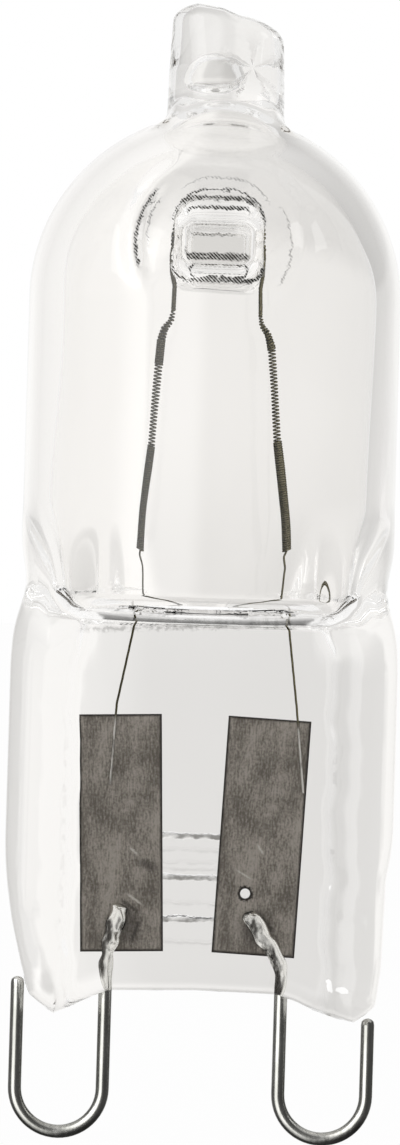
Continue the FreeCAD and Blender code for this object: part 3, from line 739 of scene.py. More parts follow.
@dataclass(frozen=True)
class DrawnWire:
    """Drawn wire with fine marks along its length, lighter where it is sealed in the pinch, and where asked
    with painted shade: darker on the side facing -X and towards -X.
    """

    name: str
    dark: Colour
    light: Colour
    roughness: float
    mark_grain: Grain
    mark_depth: float
    sealed: Colour
    sealed_dark: Colour
    sealed_span: Span
    # painted shade: how much the side facing -X is painted darker
    painted_shade_side: float = 0.0
    edge: Colour = WHITE
    seal_fade: float = 0.2
    cloud_grain: Grain = Grain(0.8)
    mark_share: float = 0.6
    tone_span: Span = (0.35, 0.65)
    painted_shade_from: Span = (-0.5, 0.2)
    painted_shade_to: Span = (1.0, 0.5)
    # painted shade: how the wire is painted darker towards -X
    lit_span: Span = (-1.0, 1.0)
    lit_share: float = 0.6
    crumple_grain: Grain = Grain(1.6, (1.5, 1.5, 0.7))
    crumple_span: Span = (0.4, 0.56)
    bump_strength: float = 0.5
    roughness_gain: float = 0.12

    def make(self) -> bpy.types.Material:
        """Builds the material."""
        sheet = NodeSheet(bpy.data.materials.new(self.name))
        here = sheet.place()
        x, _, z = sheet.parts(here)
        low, high = self.sealed_span
        in_pinch = z.ramp(low - self.seal_fade, low + self.seal_fade)
        in_pinch = in_pinch * z.ramp(high + self.seal_fade, high - self.seal_fade)
        marks = sheet.noise(here, self.mark_grain)
        cloud = sheet.noise(here, self.cloud_grain)
        tone = (marks * self.mark_share + cloud * (1.0 - self.mark_share)).ramp(*self.tone_span)
        # painted shade: the side of the wire facing -X, and the wire towards -X, painted darker for light
        # that falls from the right
        if self.painted_shade_side:
            across, _, _ = sheet.parts(sheet.node("ShaderNodeNewGeometry", output="Normal"))
            painted_side_shade = across.ramp(*self.painted_shade_from) * across.ramp(*self.painted_shade_to)
            tone = tone * (1.0 - self.painted_shade_side) + painted_side_shade * self.painted_shade_side
            tone = tone * (x.ramp(*self.lit_span) * self.lit_share + (1.0 - self.lit_share))
        colour = sheet.blend(tone, self.dark, self.light)
        crumpled = sheet.noise(here, self.crumple_grain).ramp(*self.crumple_span)
        colour = sheet.blend(in_pinch, colour, sheet.blend(crumpled, self.sealed_dark, self.sealed))
        surface = sheet.node(
            "ShaderNodeBsdfPrincipled",
            inputs={
                "Base Color": colour,
                "Metallic": 1.0,
                "Roughness": marks * self.roughness_gain + self.roughness,
                "Specular Tint": self.edge,
                "Normal": sheet.bump(marks * self.mark_depth, self.bump_strength),
            },
        )
        sheet.finish(surface)
        return sheet.owner


class WireTree:
    """Geometry Nodes that sweep a wire along a path, with rounded bends or wound into a coil."""

    BEND_POINTS = 14

    def __init__(self) -> None:
        """Builds the tree with its named inputs."""
        self.group = bpy.data.node_groups.new("wire_along_path", "GeometryNodeTree")
        self.identifiers: dict[str, str] = {}
        face = self.group.interface
        face.new_socket("Path", in_out="INPUT", socket_type="NodeSocketGeometry")
        for name, kind in (
            ("Bend radius", "NodeSocketFloat"),
            ("Points", "NodeSocketInt"),
            ("Turns", "NodeSocketFloat"),
            ("Coil radius", "NodeSocketFloat"),
            ("Wire radius", "NodeSocketFloat"),
            ("Sides", "NodeSocketInt"),
            ("Finish", "NodeSocketMaterial"),
        ):
            self.identifiers[name] = face.new_socket(name, in_out="INPUT", socket_type=kind).identifier
        face.new_socket("Wire", in_out="OUTPUT", socket_type="NodeSocketGeometry")
        self._build()

    def _node(self, kind: str, inputs: dict[Any, Any], **settings: Any) -> bpy.types.Node:
        """Adds a node with its settings, then its values or links."""
        new = self.group.nodes.new(kind)
        for key, value in settings.items():
            setattr(new, key, value)
        for key, value in inputs.items():
            if isinstance(value, bpy.types.NodeSocket):
                self.group.links.new(value, new.inputs[key])
            else:
                new.inputs[key].default_value = value
        return new

    def _maths(self, operation: str, first: Any, second: Any = 0.0) -> bpy.types.NodeSocket:
        """Adds a Math node and returns its result."""
        return self._node("ShaderNodeMath", {0: first, 1: second}, operation=operation).outputs[0]

    def _vector(self, operation: str, inputs: dict[Any, Any]) -> bpy.types.NodeSocket:
        """Adds a Vector Math node and returns its vector."""
        return self._node("ShaderNodeVectorMath", inputs, operation=operation).outputs["Vector"]

    def _build(self) -> None:
        """Links path, bends, turns, sweep and finish."""
        given = self._node("NodeGroupInput", {}).outputs
        bends = self._node(
            "GeometryNodeFilletCurve",
            {
                "Curve": given["Path"],
                "Radius": given["Bend radius"],
                "Limit Radius": True,
                "Count": self.BEND_POINTS,
            },
            mode="POLY",
        )
        even = self._node(
            "GeometryNodeResampleCurve",
            {"Curve": bends.outputs[0], "Count": given["Points"]},
            mode="COUNT",
        )
        along = self._node("GeometryNodeSplineParameter", {}).outputs["Factor"]
        angle = self._maths("MULTIPLY", self._maths("MULTIPLY", along, given["Turns"]), math.tau)
        normal = self._node("GeometryNodeInputNormal", {}).outputs[0]
        tangent = self._node("GeometryNodeInputTangent", {}).outputs[0]
        beside = self._vector("CROSS_PRODUCT", {0: tangent, 1: normal})
        share = self._node("GeometryNodeInputRadius", {}).outputs[0]
        radius = self._maths("MULTIPLY", given["Coil radius"], share)
        swings = []
        for operation, direction in (("COSINE", normal), ("SINE", beside)):
            reach = self._maths("MULTIPLY", self._maths(operation, angle), radius)
            swings.append(self._vector("SCALE", {0: direction, "Scale": reach}))
        coil = self._node(
            "GeometryNodeSetPosition",
            {"Geometry": even.outputs[0], "Offset": self._vector("ADD", dict(enumerate(swings)))},
        )
        profile = self._node(
            "GeometryNodeCurvePrimitiveCircle",
            {"Resolution": given["Sides"], "Radius": given["Wire radius"]},
            mode="RADIUS",
        )
        sweep = self._node(
            "GeometryNodeCurveToMesh",
            {
                "Curve": coil.outputs[0],
                "Profile Curve": profile.outputs[0],
                "Scale": share,
                "Fill Caps": True,
            },
        )
        real = self._node("GeometryNodeRealizeInstances", {"Geometry": sweep.outputs[0]})
        dressed = self._node(
            "GeometryNodeSetMaterial",
            {"Geometry": real.outputs[0], "Material": given["Finish"]},
        )
        self._node("NodeGroupOutput", {"Wire": dressed.outputs[0]})

    def sweep(
        self,
        path: Array,
        shares: Array,
        values: dict[str, Any],
    ) -> tuple[Array, list[list[int]]]:
        """Sweeps one wire.

        Args:
            path: the points it follows, in millimetres.
            shares: the wire's thickness at each point as a share of its radius.
            values: the tree's named inputs, lengths in millimetres.

        Returns:
            Vertex places in millimetres and faces.
        """
        curve = bpy.data.curves.new("wire_path", "CURVE")
        curve.dimensions = "3D"
        spline = curve.splines.new("POLY")
        spline.points.add(len(path) - 1)
        for point, spot, share in zip(spline.points, path, shares):
            point.co = (*spot, 1.0)
            point.radius = share
        thing = bpy.data.objects.new("wire_path", curve)
        bpy.context.scene.collection.objects.link(thing)
        modifier = thing.modifiers.new("wire", "NODES")
        modifier.node_group = self.group
        for name, value in values.items():
            modifier[self.identifiers[name]] = value
        depsgraph = bpy.context.evaluated_depsgraph_get()
        mesh = bpy.data.meshes.new_from_object(thing.evaluated_get(depsgraph), depsgraph=depsgraph)
        vertices = np.array([v.co for v in mesh.vertices], float)
        faces = [list(p.vertices) for p in mesh.polygons]
        bpy.data.objects.remove(thing)
        bpy.data.curves.remove(curve)
        bpy.data.meshes.remove(mesh)
        return vertices, faces


class Crescent(NamedTuple):
    """A shallow groove round the front dent: angle and spread in degrees, radius, width and depth."""

    angle: float
    spread: float
    radius: float
    width: float
    depth: float


@dataclass
class GlassEnvelope:
    """The one blown piece: barrel, dome, exhaust tip, dimple bridge, shoulder and H-section pinch.

    The outlines foot and tip_top are points in X and Z. A tongue is its place along X and its lowest and
    highest point. A flange wave is its size and its turns along Z and X. A wave of the wall is its size, its
    turns round the tube and along Z, and its shift. A fine span is its start, its end and the grid's step.
    """

    bulb_radius: float = 6.355
    wall: float = 1.0
    dome_height: float = 28.77
    shoulder_top: float = 22.0
    shoulder_foot: float = 15.8
    ledge_top: float = 18.75
    ledge_foot: float = 17.65
    ledge_reach: float = 3.6
    ledge_fade: float = 1.7
    waist_height: float = 19.2
    waist_depth: float = 0.6
    waist_reach: float = 1.15
    press_power: float = 1.6
    pinch_half_width: float = 6.61
    flange_half: float = 1.8
    flange_reach: float = 0.96
    flange_rounding: float = 0.75
    web_half: float = 1.3
    web_blend: float = 0.6
    flange_wave: float = 0.03
    flange_waves: tuple[Triple, ...] = ((1.0, 1.7, 0.3), (0.6, 4.1, 1.0))
    foot: tuple[Point, ...] = (
        (-4.85, 4.28), (-5.65, 4.95), (-6.0, 5.9), (-6.61, 8.07), (-8.0, 12.0), (-8.0, 45.0),
        (8.0, 45.0), (8.0, 12.0), (6.61, 9.2), (6.46, 6.1), (6.22, 4.85), (5.43, 4.28), (4.9, 4.36),
        (4.1, 4.62), (3.5, 4.9), (2.8, 5.14), (0.0, 5.2), (-3.0, 5.12), (-3.6, 4.85), (-4.3, 4.5),
    )
    foot_rounding: float = 0.8
    tongue_places: tuple[Triple, ...] = ((-5.72, 6.0, 7.5), (5.45, 5.6, 7.4))
    tongue_span: Span = (0.72, 0.24)
    tongue_depth: float = 0.055
    gas_floor: float = 18.2
    gas_floor_rise: float = 0.015
    gas_waist: float = 0.47
    gas_waist_top: float = 21.9
    gas_corner: float = 0.35
    gas_floor_blend: float = 0.5
    bridge: Point = (0.06, 30.5)
    post_half_sizes: Point = (1.33, 1.28)
    post_corner: float = 0.8
    post_blend: float = 0.12
    dimple_half_sizes: Point = (1.08, 0.68)
    dimple_corner: float = 0.32
    floor_rounding: float = 0.2
    mouth_rounding: float = 0.4
    rim_crescents: tuple[Crescent, ...] = (
        Crescent(163.0, 42.0, 2.95, 0.34, 0.16),
        Crescent(8.0, 45.0, 2.85, 0.25, 0.05),
    )
    rim_front: Span = (-2.0, -4.0)
    bridge_thickness: float = 1.0
    tip_centre: float = 0.17
    tip_heights: tuple[float, ...] = (33.9, 36.6, 38.9)
    tip_half_widths: tuple[float, ...] = (2.03, 1.97, 1.86)
    tip_half_depths: tuple[float, ...] = (2.03, 1.72, 1.0)
    tip_top: tuple[Point, ...] = (
        (-4.0, 30.0), (-4.0, 38.6), (-1.6, 38.75), (-0.9, 38.9), (0.0, 38.72),
        (0.5, 38.5), (1.1, 38.4), (1.9, 38.1), (4.0, 37.4), (4.0, 30.0),
    )
    tip_rounding: float = 0.5
    neck_blend: float = 0.3
    neck_blend_gain: float = 0.9
    neck_blend_span: Span = (0.3, 1.6)
    bore_radius: float = 1.15
    bore_foot: float = 32.6
    bore_top: float = 35.3
    bore_blend: float = 1.8
    bubble_radius: float = 0.8
    bubble_centre: Point = (-0.15, 36.25)
    bubble_depth_gain: float = 1.15
    bubble_foot_gain: float = 1.25
    wave: float = 0.022
    waves: tuple[tuple[float, float, float, float], ...] = (
        (1.0, 5.0, 0.35, 0.0), (0.7, 11.0, -0.2, 1.0), (0.5, 1.0, 0.9, 0.0),
    )
    wave_span: Span = (31.0, 28.0)
    grid_step: float = 0.17
    margin_steps: float = 3.0
    fine_across: tuple[Triple, ...] = ((-1.8, 2.2, 0.12),)
    fine_heights: tuple[Triple, ...] = (
        (5.5, 16.0, 0.3), (16.5, 21.5, 0.14), (21.5, 28.2, 0.34), (28.2, 40.0, 0.12),
    )
    gradient_step: float = 0.01
    settling_rounds: int = 3
    least_slope: float = 0.05

    def pressed(self, x: Array, z: Array) -> Array:
        """How far the section has gone from the round tube (0) to the pinch (1).

        Over the web it goes in one ledge; at the flanges it is eased.
        """
        ledge = smooth_step(self.ledge_top, self.ledge_foot, z) ** self.press_power
        eased = smooth_step(self.shoulder_top, self.shoulder_foot, z)
        at_flange = smooth_step(self.ledge_reach, self.ledge_reach + self.ledge_fade, np.abs(x))
        return ledge + (eased - ledge) * at_flange

    def pinch_section(self, x: Array, y: Array, z: Array) -> Array:
        """Distance to the H-section of the pinch, whose flanges run a little wavy."""
        wave = sum(size * np.sin(per_z * z + per_x * x) for size, per_z, per_x in self.flange_waves)
        reach = self.flange_reach + self.flange_wave * wave
        middle = self.pinch_half_width - reach
        web = np.maximum(np.abs(y) - self.web_half, np.abs(x) - middle)
        side = np.abs(np.abs(x) - middle) - reach
        flange = rounded_corner(side, np.abs(y) - self.flange_half, self.flange_rounding)
        return smooth_min(web, flange, self.web_blend)

    def tip(self, x: Array, y: Array, z: Array) -> Array:
        """Distance to the pinched-off exhaust tip."""
        half_width = np.interp(z, self.tip_heights, self.tip_half_widths)
        half_depth = np.interp(z, self.tip_heights, self.tip_half_depths)
        ring = np.hypot((x - self.tip_centre) / half_width, y / half_depth)
        side = (ring - 1.0) * np.minimum(half_width, half_depth)
        return smooth_max(side, outline_distance(self.tip_top, x, z), self.tip_rounding)

    def bridge_box(self, x: Array, z: Array, half_sizes: Point, corner: float) -> Array:
        """Distance to a rounded box about the bridge, as the viewer sees it."""
        across = np.abs(x - self.bridge[0]) - half_sizes[0]
        up = np.abs(z - self.bridge[1]) - half_sizes[1]
        return rounded_corner(across, up, corner)

    def dimples(self, x: Array, y: Array, z: Array) -> Array:
        """Distance to the two dimples pressed in from front and back until they nearly meet."""
        side = self.bridge_box(x, z, self.dimple_half_sizes, self.dimple_corner)
        return smooth_max(side, self.bridge_thickness / 2 - np.abs(y), self.floor_rounding)

    def rim_groove(self, x: Array, y: Array, z: Array) -> Array:
        """Depth of the crescents that the dimple tool left round the front dent."""
        across, up = x - self.bridge[0], z - self.bridge[1]
        away = np.hypot(across, up)
        depth = np.zeros_like(x)
        for groove in self.rim_crescents:
            turned = np.angle(np.exp(1j * (np.arctan2(up, across) - math.radians(groove.angle))))
            fade = np.exp(-((turned / math.radians(groove.spread)) ** 4))
            depth += groove.depth * fade * np.exp(-(((away - groove.radius) / groove.width) ** 2))
        return depth * smooth_step(*self.rim_front, y)

    def outer(self, x: Array, y: Array, z: Array) -> Array:
        """Distance to the outside of the glass."""
        above = np.maximum(z - self.dome_height, 0.0)
        round_form = np.sqrt(x * x + y * y + above * above) - self.bulb_radius
        share = self.pressed(x, z)
        natural = self.bulb_radius + (self.pinch_half_width - self.bulb_radius) * share
        waist = self.waist_depth * np.exp(-(((z - self.waist_height) / self.waist_reach) ** 2))
        squeezed = x * natural / (natural - waist)
        body = round_form * (1.0 - share) + self.pinch_section(squeezed, y, z) * share
        body = smooth_max(body, outline_distance(self.foot, x, z), self.foot_rounding)
        eased = self.neck_blend + self.neck_blend_gain * smooth_step(*self.neck_blend_span, np.abs(y))
        body = smooth_min(body, self.tip(x, y, z), eased)
        for middle, low, high in self.tongue_places:
            away = np.hypot(x - middle, z - np.clip(z, low, high))
            body = body + self.tongue_depth * smooth_step(*self.tongue_span, away)
        body = body + self.rim_groove(x, y, z)
        return smooth_max(body, -self.dimples(x, y, z), self.mouth_rounding)

    def chamber(self, x: Array, y: Array, z: Array) -> Array:
        """Distance to the gas space in barrel and dome, with the rippled wall and the flat floor."""
        above = np.maximum(z - self.dome_height, 0.0)
        angle = np.arctan2(y, x)
        ripple = np.zeros_like(z)
        for size, per_angle, per_z, shift in self.waves:
            ripple += size * np.sin(per_angle * angle + per_z * z + shift)
        ripple = ripple * smooth_step(*self.wave_span, z)
        narrowing = self.gas_waist * smooth_step(self.gas_waist_top, self.gas_floor, z) * np.cos(angle) ** 2
        inner = self.bulb_radius - self.wall - narrowing
        space = np.sqrt(x * x + y * y + above * above) - inner + self.wave * ripple
        floor = self.gas_floor + self.gas_floor_rise * x * x - z
        trough = rounded_corner(np.abs(y) - (self.bulb_radius - self.wall), floor, self.gas_corner)
        return smooth_max(space, trough, self.gas_floor_blend)

    def bore(self, x: Array, y: Array, z: Array) -> Array:
        """Distance to the bore of the exhaust tube under the tip."""
        above = np.maximum(z - (self.bore_top - self.bore_radius), 0.0)
        bore = np.sqrt((x - self.tip_centre) ** 2 + y * y + above**2) - self.bore_radius
        return np.maximum(bore, self.bore_foot - z)

    def bubble(self, x: Array, y: Array, z: Array) -> Array:
        """Distance to the bubble that is closed in the tip, flatter below than above."""
        across, up = x - self.bubble_centre[0], z - self.bubble_centre[1]
        gain = np.where(up > 0.0, 1.0, self.bubble_foot_gain)
        return np.sqrt(across**2 + (y * self.bubble_depth_gain) ** 2 + (up * gain) ** 2) - self.bubble_radius

    def gas(self, x: Array, y: Array, z: Array) -> Array:
        """Distance to the gas inside the glass: the chamber round the post, the bore and the bubble."""
        post = self.bridge_box(x, z, self.post_half_sizes, self.post_corner)
        space = smooth_max(self.chamber(x, y, z), -post, self.post_blend)
        joined = smooth_min(space, self.bore(x, y, z), self.bore_blend)
        space = np.where(z > self.bore_foot, joined, space)
        return np.minimum(space, self.bubble(x, y, z))

    def distance(self, places: Array) -> Array:
        """Distance to the glass itself, negative in the glass, for rows of x, y, z."""
        x, y, z = places[..., 0], places[..., 1], places[..., 2]
        return np.maximum(self.outer(x, y, z), -self.gas(x, y, z))

    def slope(self, places: Array) -> Array:
        """Slope of the distance at each place."""
        steps = []
        for axis in range(3):
            nudge = np.zeros(3)
            nudge[axis] = self.gradient_step
            steps.append(self.distance(places + nudge) - self.distance(places - nudge))
        return np.stack(steps, -1) / (2.0 * self.gradient_step)

    def spaced(self, low: float, high: float, spans: Sequence[Triple]) -> Array:
        """Grid places from low to high, with another step in each span of (low, high, step)."""
        places = [low]
        while places[-1] < high:
            step = self.grid_step
            for span_low, span_high, span_step in spans:
                if span_low <= places[-1] < span_high:
                    step = span_step
            places.append(places[-1] + step)
        return np.array(places)

    def build(self, finish: bpy.types.Material) -> bpy.types.Object:
        """Meshes the glass and dresses it.

        Args:
            finish: the glass material.

        Returns:
            The glass object.
        """
        margin = self.margin_steps * self.grid_step
        reach = max(self.bulb_radius, self.pinch_half_width) + margin
        low = np.array([-reach, -self.bulb_radius - margin, min(up for _, up in self.foot) - margin])
        high = np.array([reach, self.bulb_radius + margin, self.tip_heights[-1] + margin])
        axes = [
            self.spaced(low[0], high[0], self.fine_across),
            self.spaced(low[1], high[1], ()),
            self.spaced(low[2], high[2], self.fine_heights),
        ]
        layers = []
        for x in axes[0]:
            y, z = np.meshgrid(axes[1], axes[2], indexing="ij")
            layers.append(self.distance(np.stack([np.full_like(y, x), y, z], -1)))
        vertices, quads = surface_net(np.stack(layers), axes)
        for _ in range(self.settling_rounds):
            slope = self.slope(vertices)
            steep = np.maximum((slope * slope).sum(-1), self.least_slope)
            move = self.distance(vertices) / steep
            move = np.clip(move, -self.grid_step / 2, self.grid_step / 2)
            vertices -= move[:, None] * slope
        thing = make_mesh_object("glass_envelope_blown", vertices, quads.tolist(), finish)
        slope = self.slope(vertices)
        slope /= np.linalg.norm(slope, axis=-1, keepdims=True)
        thing.data.normals_split_custom_set_from_vertices(slope.tolist())
        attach(thing, "root")
        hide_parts("glass_envelope")
        return thing


@dataclass
class Filament:
    """The wound tungsten wire: tails, close and open coils, kinks and the fine turns over the bridge.

    The legs are points in X and Z from the tail up. Each winding ends at its point number in stretch_ends.
    """

    plane: float = 0.125
    arch_centre: Point = (0.06, 30.5)
    arch_half_width: float = 1.46
    arch_half_height: float = 1.62
    arch_power: int = 3
    arch_points: int = 24
    left_leg: tuple[Point, ...] = (
        (-3.1, 12.14), (-2.95, 14.9), (-2.45, 17.5), (-2.34, 18.5), (-2.28, 19.5), (-2.38, 19.88),
        (-2.34, 20.05), (-1.82, 23.75), (-1.6, 26.5), (-1.53, 27.35), (-1.42, 27.75), (-1.22, 28.0),
        (-1.15, 28.35), (-1.16, 29.2), (-1.3, 29.6), (-1.4, 30.1), (-1.4, 30.5),
    )
    right_leg: tuple[Point, ...] = (
        (3.5, 12.03), (3.2, 14.9), (2.87, 17.5), (2.72, 18.5), (2.74, 19.6), (2.64, 19.98), (2.72, 20.18),
        (2.14, 24.0), (1.82, 27.1), (1.79, 27.25), (1.66, 27.65), (1.44, 27.9), (1.36, 28.25), (1.35, 29.2),
        (1.45, 29.6), (1.52, 30.1), (1.52, 30.5),
    )
    windings: tuple[Winding, ...] = (
        Winding.STRAIGHT, Winding.CLOSE, Winding.OPEN, Winding.CLOSE, Winding.STRETCHED, Winding.FINE,
    )
    stretch_ends: tuple[int, ...] = (6, 7, 8, 9, 12, 16)
    bend_radius: float = 0.15
    points_per_turn: int = 10
    wire_sides: int = 6

    def leg_runs(self, leg: Sequence[Point]) -> list[tuple[Winding, list[Point]]]:
        """The stretches of one leg from its tail up to the kink, each with its winding."""
        runs = []
        start = 0
        for winding, end in zip(self.windings, self.stretch_ends):
            runs.append((winding, list(leg[start : end + 1])))
            start = end
        return runs

    def bridge_run(self) -> list[Point]:
        """The turns over the glass post, from one arm to the other."""
        run = [self.left_leg[-1]]
        for number in range(self.arch_points + 1):
            angle = math.pi * (1.0 - number / self.arch_points)
            across, up = math.cos(angle), math.sin(angle)
            out = abs(across / self.arch_half_width) ** self.arch_power
            over = abs(up / self.arch_half_height) ** self.arch_power
            reach = (out + over) ** (-1 / self.arch_power)
            run.append((self.arch_centre[0] + reach * across, self.arch_centre[1] + reach * up))
        run.append(self.right_leg[-1])
        return run

    def build(self, wires: WireTree, finish: bpy.types.Material) -> bpy.types.Object:
        """Winds the filament.

        Args:
            wires: the tree that sweeps wires.
            finish: the tungsten material.

        Returns:
            The filament object.
        """
        runs = self.leg_runs(self.left_leg)
        runs.append((Winding.ARCH, self.bridge_run()))
        runs += self.leg_runs(self.right_leg)
        all_vertices: list[Array] = []
        all_faces: list[list[int]] = []
        count = 0
        for winding, run in runs:
            per_millimetre, coil_radius, wire_radius, end_share = winding.value
            path = np.array([(x, self.plane, z) for x, z in run])
            length = float(np.linalg.norm(np.diff(path, axis=0), axis=1).sum())
            turns = max(1, round(per_millimetre * length))
            vertices, faces = wires.sweep(
                path,
                np.linspace(1.0, end_share, len(path)),
                {
                    "Bend radius": self.bend_radius,
                    "Points": turns * self.points_per_turn + 1,
                    "Turns": float(turns),
                    "Coil radius": coil_radius,
                    "Wire radius": wire_radius,
                    "Sides": self.wire_sides,
                    "Finish": finish,
                },
            )
            all_vertices.append(vertices)
            all_faces += [[index + count for index in face] for face in faces]
            count += len(vertices)
        thing = make_mesh_object("filament_wound", np.concatenate(all_vertices), all_faces, finish)
        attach(thing, "root")
        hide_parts("filament")
        return thing


@dataclass
class ContactLoop:
    """One stiff outer lead: a flattened weld end on its foil, a bend, and the loop under the glass.

    A row of end_rounding is how far back from the end it lies, in wire radii, and the share of the radius.
    """

    side: Side
    lead_end: Point
    free_end: float
    wire_radius: float = 0.23
    pitch: float = 9.0
    spacing: float = 3.0
    pair_offset: float = -0.06
    bend_height: float = 6.15
    foil_front: float = 0.15
    flat_start: float = 6.5
    flat_run: float = 0.5
    flat_widening: float = 0.35
    seal_run: float = 0.9
    lump_depth: float = 0.035
    lump_waves: tuple[Triple, ...] = ((6.0, 4.0, 7.3), (9.0, -5.0, 5.1), (-4.0, 8.0, 6.2))
    end_rounding: tuple[Point, ...] = ((1.0, 1.0), (0.45, 0.9), (0.13, 0.55), (0.0, 0.12))
    sides: int = 28
    points: int = 420

    @property
    def middle(self) -> float:
        """Where the middle of the loop lies along X."""
        return self.pair_offset + self.side.value * self.pitch / 2

    @property
    def inner(self) -> float:
        """Where the leg that goes up to the foil lies along X."""
        return self.middle - self.side.value * self.spacing / 2

    def path(self) -> tuple[Array, Array]:
        """The lead's path from its weld to its free end, and its thickness along it."""
        outer = self.middle + self.side.value * self.spacing / 2
        radius = self.wire_radius
        run_x, run_z = self.lead_end[0] - self.inner, self.lead_end[1] - self.bend_height
        length = math.hypot(run_x, run_z)
        spots = []
        for back, share in reversed(self.end_rounding):
            part = 1.0 - back * radius / length
            spots.append((self.inner + run_x * part, self.bend_height + run_z * part, share))
        spots.append((self.inner, self.bend_height, 1.0))
        spots.append((self.inner, radius, 1.0))
        spots.append((outer, radius, 1.0))
        for back, share in self.end_rounding:
            spots.append((outer, self.free_end - back * radius, share))
        table = np.array(spots)
        path = np.stack([table[:, 0], np.zeros(len(table)), table[:, 1]], 1)
        return path, table[:, 2]

    def build(self, wires: WireTree, finish: bpy.types.Material) -> bpy.types.Object:
        """Bends the lead and presses its weld end flat.

        Args:
            wires: the tree that sweeps wires.
            finish: the wire material.

        Returns:
            The lead object.
        """
        path, shares = self.path()
        node = f"contact_loop_{self.side.name.lower()}"
        vertices, faces = wires.sweep(
            path,
            shares,
            {
                "Bend radius": self.spacing / 2,
                "Points": self.points,
                "Turns": 1.0,
                "Coil radius": 0.0,
                "Wire radius": self.wire_radius,
                "Sides": self.sides,
                "Finish": finish,
            },
        )
        heights = vertices[:, 2].copy()
        at_lead = (vertices[:, 0] - self.middle) * self.side.value < 0.0
        flat = smooth_step(self.flat_start, self.flat_start + self.flat_run, heights) * at_lead
        lead_x = np.interp(heights, [self.bend_height, self.lead_end[1]], [self.inner, self.lead_end[0]])
        vertices[:, 0] += (vertices[:, 0] - lead_x) * self.flat_widening * flat
        sealed = smooth_step(self.bend_height - self.seal_run, self.bend_height, heights) * at_lead
        lumps = np.sin(vertices @ np.array(self.lump_waves).T + np.arange(len(self.lump_waves)))
        vertices += self.lump_depth * sealed[:, None] * lumps
        on_foil = at_lead & (vertices[:, 2] > self.bend_height)
        vertices[on_foil, 1] = np.minimum(vertices[on_foil, 1], self.foil_front)
        thing = make_mesh_object(f"{node}_bent", vertices, faces, finish)
        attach(thing, "root")
        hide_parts(node)
        return thing


class Lamp(NamedTuple):
    """A soft square lamp: its name, place and size in millimetres, and power in watts."""

    name: str
    place: Triple
    size: float
    power: float


